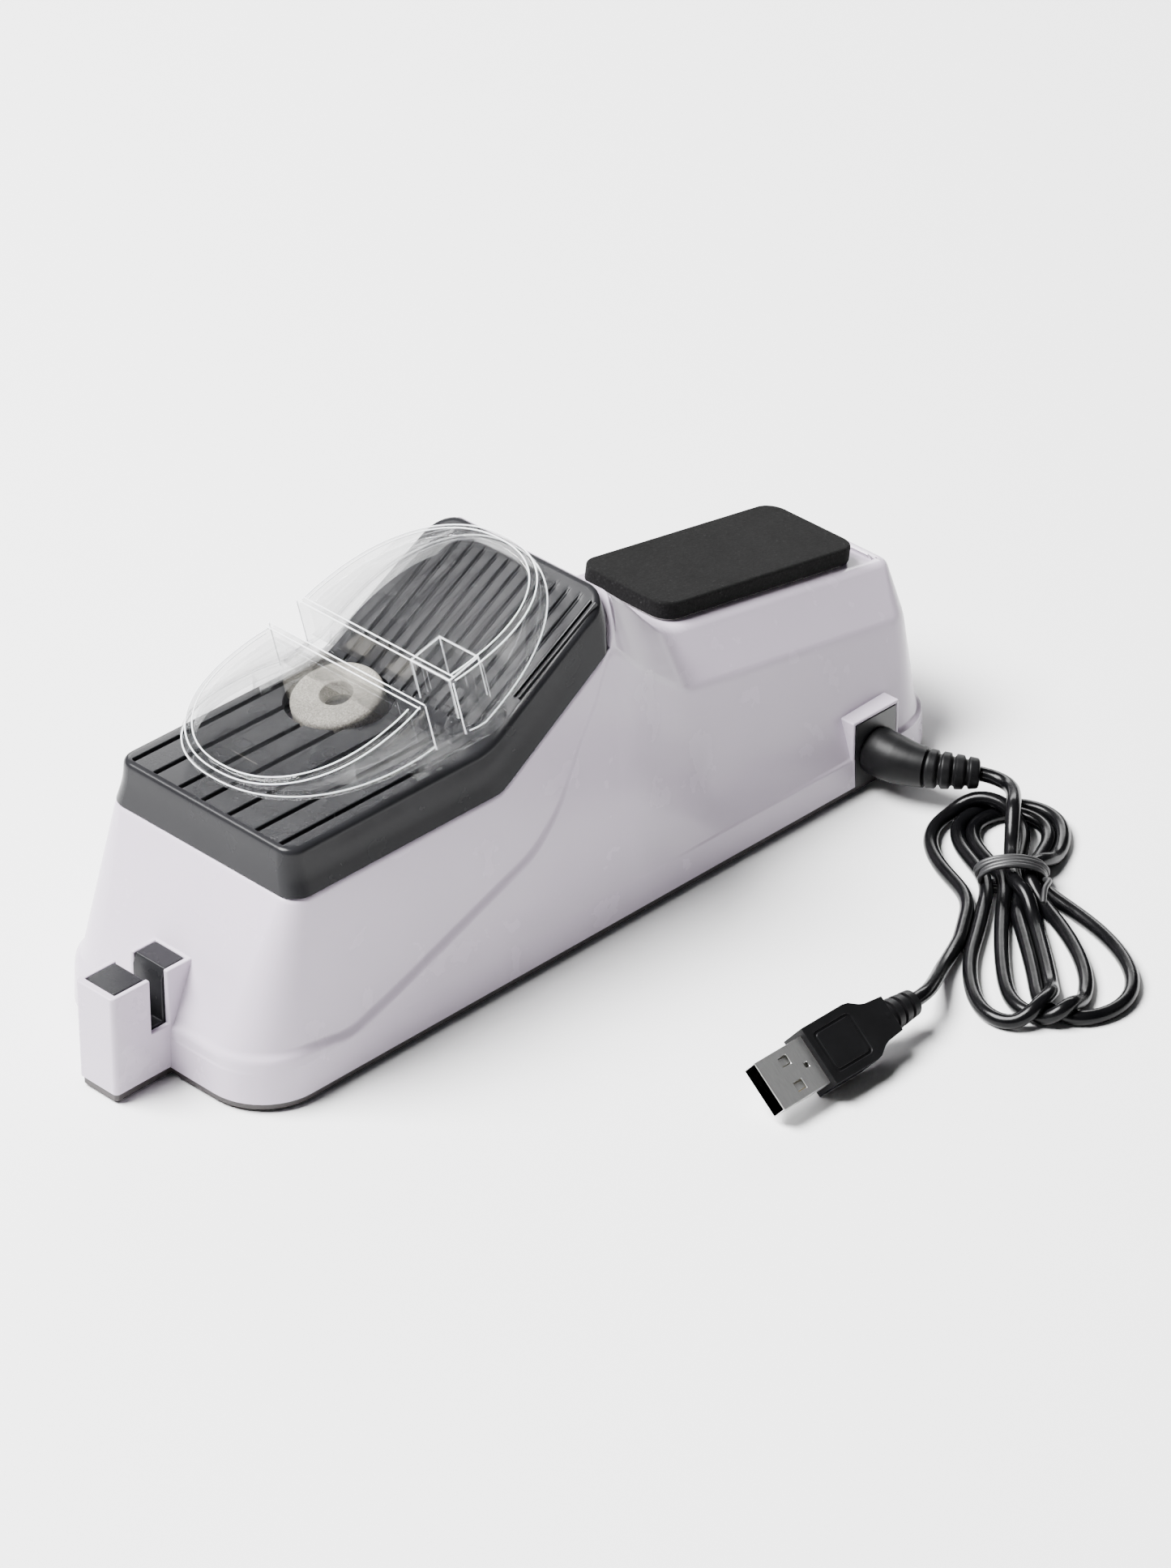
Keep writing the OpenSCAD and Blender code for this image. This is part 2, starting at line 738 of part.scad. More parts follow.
module socket_leads() {
    for (s = [0, 1])
        color(s == 0 ? [0.8, 0.1, 0.1] : [0.1, 0.1, 0.1])
            tube(smooth([[94 - 4 * s, -21.9, 7], [92.5 - 4 * s, -16, 6.5], [88.5 - 3 * s, -11 - 2 * s, 7],
                [84, -7 - 3 * s, 9.5]], 3), [for (i = [0:9]) 0.75], 6);
}

// ---- Hand sharpening slot ----

module blade(s) {
    translate([slot_x[0] + 2.5 + s * 1.2, s * 1.1 - 0.8, 15.4])
        rotate([0, s * 20, 0])
            span([-1, 0, -3.4], [1, 1.6, 6]);
}

module block_insert() {
    flare = 1.6;
    x0 = slot_x[0] + 0.6;
    x1 = slot_x[1] - 0.6;
    color([0.2, 0.2, 0.21])
        difference() {
            rounded_bar(insert_x[0], insert_x[1], insert_half, edge_z, insert_top, 0.8);
            rotate([90, 0, 0])
                translate([0, 0, -20])
                    linear_extrude(40)
                        polygon([[x0, slot_z + 0.5], [x1, slot_z + 0.5], [x1, insert_top - 2.4],
                            [x1 + flare, insert_top + 1], [x0 - flare, insert_top + 1],
                            [x0, insert_top - 2.4]]);
            for (s = [-1, 1])
                blade(s);
        }
}

module carbide_blades() {
    color([0.5, 0.5, 0.52])
        for (s = [-1, 1])
            blade(s);
}

// ---- Honing pad ----

module pad_bar(inset, t0, t1) {
    half = pad_width / 2 - inset;
    translate([pad_at[0], 0, pad_at[1]])
        rotate([0, pad_tilt, 0])
            rounded_bar(inset, pad_len - inset, half, t0, t1, pad_r - inset);
}

module pad_tape() {
    color([0.9, 0.9, 0.85])
        pad_bar(1, 0.06, pad_tape_t);
}

module polishing_pad() {
    color([0.06, 0.06, 0.06])
        pad_bar(0, pad_tape_t, pad_tape_t + pad_t);
}

// ---- Lead and plugs ----

module dc_plug_barrel() {
    color([0.8, 0.8, 0.82])
        translate(plug_at + [0, 8.8, 0])
            rotate([90, 0, 0])
                difference() {
                    cylinder(r = barrel_r, h = 8.88);
                    translate([0, 0, -1])
                        cylinder(r = barrel_hole_r, h = 9);
                }
}

module dc_plug_body() {
    color([0.06, 0.06, 0.06])
        tube([for (p = plug_route) [p[0], p[1], p[2]]], [for (p = plug_route) p[3]], 16);
}

module cord_lead_dc() {
    p = smooth(dc_route);
    color([0.05, 0.05, 0.05])
        tube(p, [for (q = p) cord_r]);
}

module cord_lead_usb() {
    p = smooth(usb_route, 1);
    color([0.05, 0.05, 0.05])
        tube(p, [for (q = p) cord_r]);
}

// One closed solid round the loops on both sides of the tie
module cord_hank() {
    color([0.05, 0.05, 0.05])
        linear_extrude(hank_h) {
            hull() {
                translate([79, -87])
                    circle(r = 9);
                translate([93.5, -77])
                    circle(r = 15.5);
            }
            hull() {
                translate([79, -90])
                    circle(r = 9);
                translate([73.5, -109])
                    circle(r = 13);
                translate([54, -121])
                    circle(r = 19);
            }
        }
}

module twist_tie() {
    color([0.04, 0.04, 0.04])
        translate([tie_at[0], tie_at[1], 0])
            rotate([0, 0, tie_turn])
                rotate([90, 0, 90])
                    translate([0, 0, -2])
                        linear_extrude(4)
                            difference() {
                                rounded_square([-11, 0], [11, 11.5], 4);
                                rounded_square([-10, 0.9], [10, 10.6], 3.2);
                            }
}

module rounded_square(low, high, r) {
    polygon(concat(
        arc(low[0] + r, low[1] + r, r, 180, 270, 5),
        arc(high[0] - r, low[1] + r, r, 270, 360, 5),
        arc(high[0] - r, high[1] - r, r, 0, 90, 5),
        arc(low[0] + r, high[1] - r, r, 90, 180, 5)));
}

// The plug's own frame: X runs from the strain relief to the tip, Z out of its flat face
module on_usb() {
    translate(usb_at)
        rotate([usb_roll, 0, 0])
            rotate([0, 0, 180])
                children();
}

module usb_overmold() {
    color([0.07, 0.07, 0.07])
        on_usb() {
            rotate([0, 90, 0])
                cylinder(r1 = 3, r2 = 4, h = 10);
            translate([0, 0, -4])
                linear_extrude(8)
                    polygon([[9, -5], [15, -5.4], [17.5, -7.2], [33, -7.2], [33, 7.2], [17.5, 7.2],
                        [15, 5.4], [9, 5]]);
        }
}

module usb_shell() {
    color([0.75, 0.76, 0.78])
        on_usb()
            difference() {
                span([33, -6, -2.25], [47.5, 6, 2.25]);
                span([32, -5.7, -1.95], [49, 5.7, 1.95]);
                for (y = [-3.1, 3.1])
                    span([39, y - 1.1, -5], [41.4, y + 1.1, 5]);
            }
}

module usb_tongue() {
    color([0.9, 0.9, 0.9])
        on_usb()
            span([33, -5.6, -1.9], [46.5, 5.6, 0.1]);
}

module usb_contacts() {
    color([0.85, 0.7, 0.3])
        on_usb()
            for (y = [-3.5, -1.2, 1.2, 3.5])
                span([37, y - 0.5, 0.1], [45.5, y + 0.5, 0.35]);
}

upper_shell();
base_plate();
rubber_feet();
base_screws();
deck_cover();
clear_cover();
grinding_wheel();
wheel_hub();
hub_grub_screw();
motor_shaft();
rotor_core();
commutator();
motor_can();
motor_magnets();
motor_end_cap();
motor_bushes();
motor_brushes();
motor_bracket();
motor_screws();
circuit_board();
board_screws();
dc_socket();
socket_pin();
switch_frame();
switch_rocker();
motor_leads();
switch_leads();
socket_leads();
block_insert();
carbide_blades();
pad_tape();
polishing_pad();
dc_plug_barrel();
dc_plug_body();
cord_lead_dc();
cord_hank();
twist_tie();
cord_lead_usb();
usb_overmold();
usb_shell();
usb_tongue();
usb_contacts();
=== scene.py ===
# Looks of the USB electric knife sharpener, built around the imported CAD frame.
# Lengths are in millimetres until MM turns them into metres.
import json
import math

import bmesh
import bpy
import numpy as np
from mathutils import Matrix, Vector


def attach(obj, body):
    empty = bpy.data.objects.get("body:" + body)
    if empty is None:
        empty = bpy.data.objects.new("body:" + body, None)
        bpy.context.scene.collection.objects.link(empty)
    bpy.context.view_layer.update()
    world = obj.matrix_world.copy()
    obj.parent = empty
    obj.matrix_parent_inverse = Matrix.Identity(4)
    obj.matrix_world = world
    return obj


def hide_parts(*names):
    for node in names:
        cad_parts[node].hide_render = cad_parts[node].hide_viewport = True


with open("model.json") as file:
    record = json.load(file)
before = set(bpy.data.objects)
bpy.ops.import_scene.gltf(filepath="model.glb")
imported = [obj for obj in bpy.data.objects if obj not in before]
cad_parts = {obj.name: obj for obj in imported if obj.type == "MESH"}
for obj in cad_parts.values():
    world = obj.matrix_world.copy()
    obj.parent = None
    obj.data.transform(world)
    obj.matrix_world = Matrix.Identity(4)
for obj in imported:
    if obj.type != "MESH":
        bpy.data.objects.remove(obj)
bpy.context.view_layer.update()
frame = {"nodes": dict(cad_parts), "record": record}
MM = 0.001


# ---- Camera ----

def add_camera():
    azimuth = math.radians(-135.23)
    elevation = math.radians(32.65)
    distance = 1.509
    aim = Vector((0.0235, -0.008, 0.0193))
    back = Vector((math.cos(elevation) * math.cos(azimuth), math.cos(elevation) * math.sin(azimuth),
                   math.sin(elevation)))
    data = bpy.data.cameras.new("camera")
    data.lens = 151.85
    data.sensor_width = 36
    data.clip_start = 0.05
    camera = bpy.data.objects.new("camera", data)
    camera.location = aim + back * distance
    camera.rotation_euler = back.to_track_quat("Z", "Y").to_euler()
    bpy.context.scene.collection.objects.link(camera)
    bpy.context.scene.camera = camera


add_camera()


# ---- Materials ----

def linear(rgb):
    """Linear colour from display values of 0 to 255."""
    return tuple((c / 255 / 12.92 if c <= 10 else ((c / 255 + 0.055) / 1.055) ** 2.4) for c in rgb)


class Nodes:
    """Short forms for the nodes of one material."""

    def __init__(self, name):
        self.material = bpy.data.materials.new(name)
        self.material.use_nodes = True
        self.tree = self.material.node_tree
        self.shader = self.tree.nodes["Principled BSDF"]
        self.place = self.tree.nodes.new("ShaderNodeTexCoord").outputs["Object"]

    def link(self, a, b):
        self.tree.links.new(a, b)

    def drive(self, socket, output):
        self.link(output, self.shader.inputs[socket])

    def noise(self, scale, detail=3.0, rough=0.55, stretch=None):
        node = self.tree.nodes.new("ShaderNodeTexNoise")
        node.inputs["Scale"].default_value = scale
        node.inputs["Detail"].default_value = detail
        node.inputs["Roughness"].default_value = rough
        place = self.place
        if stretch:
            mapping = self.tree.nodes.new("ShaderNodeMapping")
            mapping.inputs["Scale"].default_value = stretch
            self.link(place, mapping.inputs["Vector"])
            place = mapping.outputs["Vector"]
        self.link(place, node.inputs["Vector"])
        return node.outputs["Fac"]

    def ramp(self, value, stops):
        node = self.tree.nodes.new("ShaderNodeValToRGB")
        while len(node.color_ramp.elements) < len(stops):
            node.color_ramp.elements.new(0.5)
        for element, (at, colour) in zip(node.color_ramp.elements, stops):
            element.position = at
            element.color = (*colour[:3], 1)
        self.link(value, node.inputs["Fac"])
        return node.outputs["Color"]

    def span(self, value, low, high):
        node = self.tree.nodes.new("ShaderNodeMapRange")
        node.inputs["To Min"].default_value = low
        node.inputs["To Max"].default_value = high
        self.link(value, node.inputs["Value"])
        return node.outputs["Result"]

    def bump(self, height, distance, strength=1.0, below=None):
        node = self.tree.nodes.new("ShaderNodeBump")
        node.inputs["Distance"].default_value = distance
        node.inputs["Strength"].default_value = strength
        self.link(height, node.inputs["Height"])
        if below is not None:
            self.link(below, node.inputs["Normal"])
        return node.outputs["Normal"]

    def set(self, **values):
        for key, value in values.items():
            self.shader.inputs[key.replace("_", " ")].default_value = value


def mixed_finish(name, cloud, low, high, gloss=None, grain=None, places=(0.3, 0.7), **shader):
    """Colour that drifts between low and high, an uneven gloss, a fine grain, and plain values of the shader.

    cloud is (scale, detail) of the colour's noise, gloss (scale, detail, least, most roughness) and grain (scale,
    detail, height, strength).
    """
    n = Nodes(name)
    n.drive("Base Color", n.ramp(n.noise(*cloud), list(zip(places, (low, high)))))
    if gloss:
        n.drive("Roughness", n.span(n.noise(*gloss[:2]), *gloss[2:]))
    if grain:
        n.drive("Normal", n.bump(n.noise(*grain[:2]), *grain[2:]))
    n.set(**shader)
    return n.material


def plain_finish(name, colour, rough):
    """Moulded or machined surface."""
    dark, light = (tuple(c * share for c in colour) for share in (0.94, 1.06))
    return mixed_finish(name, (40, 4), dark, light, (120, 3, rough - 0.06, rough + 0.06), (900, 2, 0.00001, 1.0))


def brushed_finish(name, colour, rough, stretch):
    n = Nodes(name)
    streaks = n.noise(400, 4, 0.7, stretch)
    n.drive("Base Color", n.ramp(streaks, [(0.25, tuple(c * 0.82 for c in colour)), (0.75, colour)]))
    n.drive("Roughness", n.span(streaks, rough * 0.7, rough * 1.3))
    n.drive("Normal", n.bump(streaks, 0.00002, 0.5))
    n.set(Metallic=1.0)
    return n.material


def abrasive_finish():
    n = Nodes("bonded_grit")
    grit = n.noise(2600, 6, 0.75)
    patches = n.noise(220, 5, 0.6)
    n.drive("Base Color", n.ramp(grit, [(0.32, linear((92, 89, 82))), (0.5, linear((140, 136, 127))),
                                        (0.66, linear((190, 186, 177)))]))
    n.set(Roughness=0.8)
    low = n.bump(patches, 0.0003, 0.7)
    n.drive("Normal", n.bump(grit, 0.00025, 0.9, low))
    return n.material


def pad_finish():
    n = Nodes("black_hone")
    grit = n.noise(1800, 5, 0.7)
    n.drive("Base Color", n.ramp(grit, [(0.35, linear((11, 11, 11))), (0.62, linear((21, 21, 21))),
                                        (0.74, linear((52, 52, 52)))]))
    n.drive("Roughness", n.span(n.noise(60, 4), 0.62, 0.85))
    n.drive("Normal", n.bump(grit, 0.00018, 0.8))
    n.set(Specular_IOR_Level=0.05)
    return n.material


def jacket_finish(name, rough, colour, specular):
    return mixed_finish(name, (70, 4), linear(colour), linear(tuple(c + 9 for c in colour)),
                        (160, 4, rough - 0.07, rough + 0.1), (420, 3, 0.00005, 0.6), (0.3, 0.75),
                        Specular_IOR_Level=specular)


FINISH = {
    "white_housing": mixed_finish("glossy_white", (14, 3), linear((180, 170, 184)), linear((187, 177, 191)),
                                  (90, 4, 0.2, 0.32), (260, 2, 0.00002, 0.5), Coat_Weight=0.12,
                                  Coat_Roughness=0.1, IOR=1.5, Specular_IOR_Level=0.35),
    "dark_deck": mixed_finish("dark_grey_gloss", (30, 4), linear((24, 24, 26)), linear((31, 31, 33)),
                              (120, 4, 0.2, 0.32), (1500, 2, 0.00001, 0.6), Specular_IOR_Level=0.15),
    "dark_base": plain_finish("dark_base_plastic", linear((46, 41, 41)), 0.5),
    "clear_guard": mixed_finish("clear_polycarbonate", (20, 2), (0.97, 0.98, 0.985), (0.99, 0.99, 0.995),
                                (70, 3, 0.0, 0.02), Transmission_Weight=1.0, IOR=1.4, Alpha=0.24),
    "abrasive": abrasive_finish(),
    "black_plastic": plain_finish("black_moulding", linear((30, 30, 31)), 0.42),
    "pad_black": pad_finish(),
    "rubber_black": jacket_finish("black_soft_moulding", 0.42, (9, 9, 10), 0.13),
    "cord_jacket": jacket_finish("black_cord_jacket", 0.22, (4, 4, 5), 0.16),
    "steel": brushed_finish("brushed_steel", (0.56, 0.57, 0.58), 0.35, (1, 1, 12)),
    "nickel": brushed_finish("nickel_plate", (0.86, 0.86, 0.85), 0.36, (14, 1, 1)),
    "copper": brushed_finish("copper_windings", (0.72, 0.42, 0.25), 0.4, (1, 14, 1)),
    "brass": brushed_finish("brass_contacts", (0.8, 0.62, 0.3), 0.3, (8, 1, 1)),
    "carbide": brushed_finish("ground_carbide", (0.4, 0.4, 0.42), 0.3, (1, 10, 1)),
    "ferrite": plain_finish("ferrite_magnet", (0.05, 0.05, 0.055), 0.7),
    "board_green": plain_finish("green_solder_mask", (0.02, 0.16, 0.06), 0.3),
    "white_inner": plain_finish("white_insulator", (0.78, 0.77, 0.74), 0.5),
    "wire": plain_finish("red_wire", (0.5, 0.03, 0.02), 0.4),
    "tape": plain_finish("foam_tape", (0.6, 0.6, 0.56), 0.8),
}


# ---- Mesh helpers ----

def smooth_by_angle(mesh, degrees):
    bm = bmesh.new()
    bm.from_mesh(mesh)
    for face in bm.faces:
        face.smooth = True
    for edge in bm.edges:
        edge.smooth = not (len(edge.link_faces) == 2 and edge.calc_face_angle(0) > math.radians(degrees))
    bm.to_mesh(mesh)
    bm.free()


def new_object(name, points, faces):
    mesh = bpy.data.meshes.new(name)
    mesh.from_pydata([tuple(c * MM for c in p) for p in points], [], faces)
    mesh.validate()
    obj = bpy.data.objects.new(name, mesh)
    bpy.context.scene.collection.objects.link(obj)
    bm = bmesh.new()
    bm.from_mesh(mesh)
    bmesh.ops.recalc_face_normals(bm, faces=bm.faces)
    bm.to_mesh(mesh)
    bm.free()
    return obj


def settle_modifiers(obj):
    """Turns the object's modifiers into plain mesh."""
    bpy.context.view_layer.update()
    graph = bpy.context.evaluated_depsgraph_get()
    mesh = bpy.data.meshes.new_from_object(obj.evaluated_get(graph))
    obj.modifiers.clear()
    old = obj.data
    obj.data = mesh
    bpy.data.meshes.remove(old)
    mesh.name = obj.name


def combine(obj, tool, operation):
    """Boolean of obj with a throwaway tool object."""
    modifier = obj.modifiers.new("cut", "BOOLEAN")
    modifier.operation = operation
    modifier.solver = "EXACT"
    modifier.object = tool
    settle_modifiers(obj)
    bpy.data.objects.remove(tool)


def carve(obj, tool):
    combine(obj, tool, "DIFFERENCE")


def open_box(obj, low, high):
    """Takes away the part of a thin surface that lies inside a box."""
    low, high = Vector(low) * MM, Vector(high) * MM
    bm = bmesh.new()
    bm.from_mesh(obj.data)
    for axis in range(3):
        for place in (low[axis], high[axis]):
            near = [f for f in bm.faces
                    if all(min(v.co[k] for v in f.verts) <= high[k] and max(v.co[k] for v in f.verts) >= low[k]
                           for k in range(3))]
            near += list({e for f in near for e in f.edges}) + list({v for f in near for v in f.verts})
            point, normal = Vector((0, 0, 0)), Vector((0, 0, 0))
            point[axis], normal[axis] = place, 1
            bmesh.ops.bisect_plane(bm, geom=near, plane_co=point, plane_no=normal)
    inside = [f for f in bm.faces if all(low[k] < f.calc_center_median()[k] < high[k] for k in range(3))]
    bmesh.ops.delete(bm, geom=inside, context="FACES")
    bm.to_mesh(obj.data)
    bm.free()


def bevel(obj, width, segments=3, degrees=35):
    modifier = obj.modifiers.new("bevel", "BEVEL")
    modifier.width = width * MM
    modifier.segments = segments
    modifier.limit_method = "ANGLE"
    modifier.angle_limit = math.radians(degrees)


def soften(obj, width, segments=3, degrees=35):
    """Rounds a mesh's sharp edges."""
    bevel(obj, width, segments, degrees)
    settle_modifiers(obj)


def moved(obj, at=(0, 0, 0), degrees=0, axis="Y"):
    """Turns a mesh about an axis through its origin, then moves it."""
    obj.data.transform(Matrix.Translation(Vector(at) * MM) @ Matrix.Rotation(math.radians(degrees), 4, axis))
    return obj


def finish_piece(obj, slot, body, stands_for, angle):
    """Material, body and the CAD nodes that the piece stands for. Edges sharper than angle stay sharp."""
    obj.data.materials.clear()
    obj.data.materials.append(FINISH[slot])
    smooth_by_angle(obj.data, angle)
    obj.modifiers.new("flat_faces", "WEIGHTED_NORMAL").keep_sharp = True
    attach(obj, body)
    if stands_for:
        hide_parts(*stands_for)
    return obj


def prism(name, outline, low, high):
    """Upright prism of an outline in XY."""
    n = len(outline)
    points = [(x, y, low) for x, y in outline] + [(x, y, high) for x, y in outline]
    faces = [tuple(reversed(range(n))), tuple(range(n, 2 * n))]
    faces += [(i, (i + 1) % n, n + (i + 1) % n, n + i) for i in range(n)]
    return new_object(name, points, faces)


def box_corners(low, high):
    return [(low[0], low[1]), (high[0], low[1]), (high[0], high[1]), (low[0], high[1])]


def block(name, low, high):
    return prism(name, box_corners(low, high), low[2], high[2])


def lathe(name, profile, steps):
    """Solid of revolution about Z; the profile is a closed loop of (radius, z)."""
    n = len(profile)
    points = []
    for i in range(steps):
        t = 2 * math.pi * i / steps
        points += [(r * math.cos(t), r * math.sin(t), z) for r, z in profile]
    faces = [(i * n + j, ((i + 1) % steps) * n + j, ((i + 1) % steps) * n + (j + 1) % n, i * n + (j + 1) % n)
             for i in range(steps) for j in range(n)]
    return new_object(name, points, faces)


def arc(x, y, r, a, b, n):
    """Points of an arc from angle a to angle b, in degrees."""
    ways = [math.radians(a + (b - a) * i / n) for i in range(n + 1)]
    return [(x + r * math.cos(t), y + r * math.sin(t)) for t in ways]


def faced_arc(x, y, r, a, n):
    """Quarter arc from angle a, as (point, the way it faces in radians) pairs."""
    return [(p, math.radians(a + 90 * i / n)) for i, p in enumerate(arc(x, y, r, a, a + 90, n))]


def rounded_outline(x0, x1, half, r, n=8):
    return (arc(x0 + r, -half + r, r, 180, 270, n) + arc(x1 - r, -half + r, r, 270, 360, n)
            + arc(x1 - r, half - r, r, 0, 90, n) + arc(x0 + r, half - r, r, 90, 180, n))


def sweep(name, path, radii, sides):
    """Round tube along a path, with its own radius at each point."""
    path = [Vector(p) for p in path]
    points, faces = [], []
    side = None
    for i, p in enumerate(path):
        along = (path[min(i + 1, len(path) - 1)] - path[max(i - 1, 0)]).normalized()
        if side is None:
            side = along.cross(Vector((0, 0, 1)))
            if side.length < 0.1:
                side = Vector((1, 0, 0))
        side = (side - along * side.dot(along)).normalized()
        up = along.cross(side)
        for j in range(sides):
            t = 2 * math.pi * j / sides
            points.append(p + (side * math.cos(t) + up * math.sin(t)) * radii[i])
    for i in range(len(path) - 1):
        for j in range(sides):
            a, b = i * sides + j, i * sides + (j + 1) % sides
            faces.append((a, b, b + sides, a + sides))
    faces += [tuple(reversed(range(sides))), tuple(range(len(points) - sides, len(points)))]
    return new_object(name, points, faces)


def smooth_line(points, step):
    """Catmull-Rom curve through points, sampled about every step."""
    p = [np.array(q, float) for q in points]
    out = []
    for i in range(len(p) - 1):
        a, b, c, d = p[max(i - 1, 0)], p[i], p[i + 1], p[min(i + 2, len(p) - 1)]
        n = max(1, round(np.linalg.norm(c - b) / step))
        for k in range(n):
            t = k / n
            out.append(0.5 * (2 * b + (c - a) * t + (2 * a - 5 * b + 4 * c - d) * t ** 2
                              + (3 * b - a - 3 * c + d) * t ** 3))
    out.append(p[-1])
    return np.array(out)


def run_along(points):
    """Way from the line's start to each of its points."""
    return np.concatenate([[0], np.cumsum(np.linalg.norm(np.diff(points, axis=0), axis=1))])


def even_line(points, step):
    """The same line with points an even step apart."""
    points = np.array(points)
    run = run_along(points)
    at = np.linspace(0, run[-1], max(2, round(run[-1] / step) + 1))
    return np.stack([np.interp(at, run, points[:, k]) for k in range(3)], 1)


# ---- Lead: route, hank and tie ----

CORD_R = 1.75
TIE = np.array([81.4, -87.3])
# From the plug over the upper loops to the tie, and from the hank to the USB plug
DC_ROUTE = [(101.8, -58.8, 9.5), (103.5, -62, 9.2), (103.6, -66, 9), (101, -70, 9.9), (96.5, -74, 10.8),
            (91, -78.5, 10.8), (87.5, -81.5, 9.8)]
USB_ROUTE = [(72.5, -78.5, 2.2), (70.5, -84.5, 1.75), (62, -91, 1.75), (56, -94.2, 1.75), (49.5, -97.2, 2),
             (43, -100.4, 3), (37, -104, 4.8), (31, -107.3, 6.6), (27, -108.7, 7.6), (24, -109, 7.7)]
UPPER_WAY = math.radians(43)
LOWER_WAY = math.radians(228.6)
# Loops in the order that the cord takes them: [side of the tie, length, first width, second width, lean, first side,
# height of the far end]
LOOPS = [("lower", 57, 6.5, 10.5, -4, 1, 8.8), ("upper", 33, 12, 13, 0, 1, 5.2), ("lower", 56, 12, 6.5, 0, 1, 5.2),
         ("upper", 29, 9, 10, 1, 1, 1.75), ("lower", 55, 19, 2.5, 4, 1, 1.75), ("upper", 31, 6, 14, 2, -1, 8.5)]
# Where each pass goes through the tie: (offset to the right of the lower way, height)
SLOTS = [(0, 4.9), (-5.3, 1.75), (3.5, 4.9), (-1.75, 1.75), (5.3, 1.75), (1.75, 1.75)]


def axes(way):
    """Unit vectors ahead and to the left of a heading."""
    return np.array([math.cos(way), math.sin(way)]), np.array([-math.sin(way), math.cos(way)])


def loop_points(way, length, wide_1, wide_2, lean, side, top_z, start, end):
    """One loop from the tie and back. start and end are (offset, height) in the tie."""
    along, across = axes(way)
    points = []
    steps = 22
    for i in range(1, steps):
        t = 2 * math.pi * i / steps
        out = (1 - math.cos(t)) / 2
        swell = math.copysign(abs(math.sin(t)) ** 0.75, math.sin(t)) * math.sin(t / 2) / 0.8
        share = i / steps
        offset = (start[0] * (1 - share) + end[0] * share) * (1 - out) + lean * out
        offset += side * swell * (wide_1 if swell > 0 else wide_2)
        z = (start[1] * (1 - share) + end[1] * share) * (1 - out) + top_z * out
        xy = TIE + along * (3 + (length - 3) * out) + across * offset
        points.append((xy[0], xy[1], z))
    return points


def slot_point(k, ahead):
    """A point of pass k, some way ahead of the tie's middle along the lower way."""
    along, across = axes(LOWER_WAY)
    xy = TIE + along * ahead + across * SLOTS[k][0]
    return (xy[0], xy[1], SLOTS[k][1])


def hank_route():
    points = list(DC_ROUTE)
    for k, (part, length, wide_1, wide_2, lean, side, top_z) in enumerate(LOOPS):
        down = part == "lower"
        points += [slot_point(k, -2.5 if down else 2.5), slot_point(k, 2.5 if down else -2.5)]
        turn = 1 if down else -1
        last = k + 1 == len(LOOPS)
        after = (-15, 3) if last else SLOTS[k + 1]
        points += loop_points(LOWER_WAY if down else UPPER_WAY, length, wide_1, wide_2, lean, side, top_z,
                              (SLOTS[k][0] * turn, SLOTS[k][1]), (after[0] * turn, after[1]))
    return points + USB_ROUTE


def settle_cord(points):
    """Lets the cord's turns fall on the floor and on each other a diameter apart, at their own length."""
    step, rounds, held_at_plug, held_at_usb = 3.0, 260, 8, 13
    fall, evenness, stiffness, near_hold, far_hold = 0.12, 0.25, 1.4, 0.5, 0.03
    p = even_line(smooth_line(points, 1.5), step)
    rest = np.linalg.norm(np.diff(p, axis=0), axis=1)
    start = p.copy()
    n = len(p)
    fixed = np.zeros(n, bool)
    fixed[:held_at_plug] = True
    fixed[-held_at_usb:] = True
    hold = np.full((n, 1), far_hold)
    near_tie = np.linalg.norm(p[:, :2] - TIE, axis=1) < 5
    hold[near_tie] = near_hold
    apart = np.abs(np.arange(n)[:, None] - np.arange(n)[None, :]) * step > 3.2 * CORD_R
    gap = 2 * CORD_R
    for _ in range(rounds):
        p[~fixed, 2] -= fall
        pull = np.zeros_like(p)
        pull[1:-1] = (p[:-2] + p[2:]) / 2 - p[1:-1]
        pull[2:-2] += stiffness * ((4 * (p[1:-3] + p[3:-1]) - p[:-4] - p[4:]) / 6 - p[2:-2])
        p[~fixed] += evenness * pull[~fixed]
        flat = start - p
        flat[:, 2] *= near_tie
        p[~fixed] += (hold * flat)[~fixed]
        for _ in range(3):
            d = p[:, None] - p[None, :]
            dist = np.linalg.norm(d, axis=2) + 1e-9
            push = np.where(apart & (dist < gap), (gap - dist) * 0.5, 0)
            move = (d / dist[:, :, None] * push[:, :, None]).sum(1)
            count = np.maximum(1, (push > 0).sum(1))[:, None]
            p[~fixed] += (move / count * 1.2)[~fixed]
            for first in (0, 1):
                a = np.arange(first, n - 1, 2)
                d = p[a + 1] - p[a]
                length = np.linalg.norm(d, axis=1)
                fix = (d * ((length - rest[a]) / length)[:, None]) * 0.5
                p[a] += fix * (~fixed[a])[:, None]
                p[a + 1] -= fix * (~fixed[a + 1])[:, None]
            p[~fixed, 2] = np.maximum(p[~fixed, 2], CORD_R)
    return p


def add_cord():
    route = settle_cord(hank_route())
    curve = bpy.data.curves.new("usb_cord", "CURVE")
    curve.dimensions = "3D"
    curve.bevel_depth = CORD_R * MM
    curve.bevel_resolution = 5
    curve.use_fill_caps = True
    curve.resolution_u = 3
    spline = curve.splines.new("NURBS")
    spline.points.add(len(route) - 1)
    for point, place in zip(spline.points, route):
        point.co = (*(place * MM), 1)
    spline.order_u = 4
    spline.use_endpoint_u = True
    obj = bpy.data.objects.new("usb_cord", curve)
    bpy.context.scene.collection.objects.link(obj)
    curve.materials.append(FINISH["cord_jacket"])
    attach(obj, "lead")
    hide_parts("cord_lead_dc", "cord_hank", "cord_lead_usb")
    return obj, route


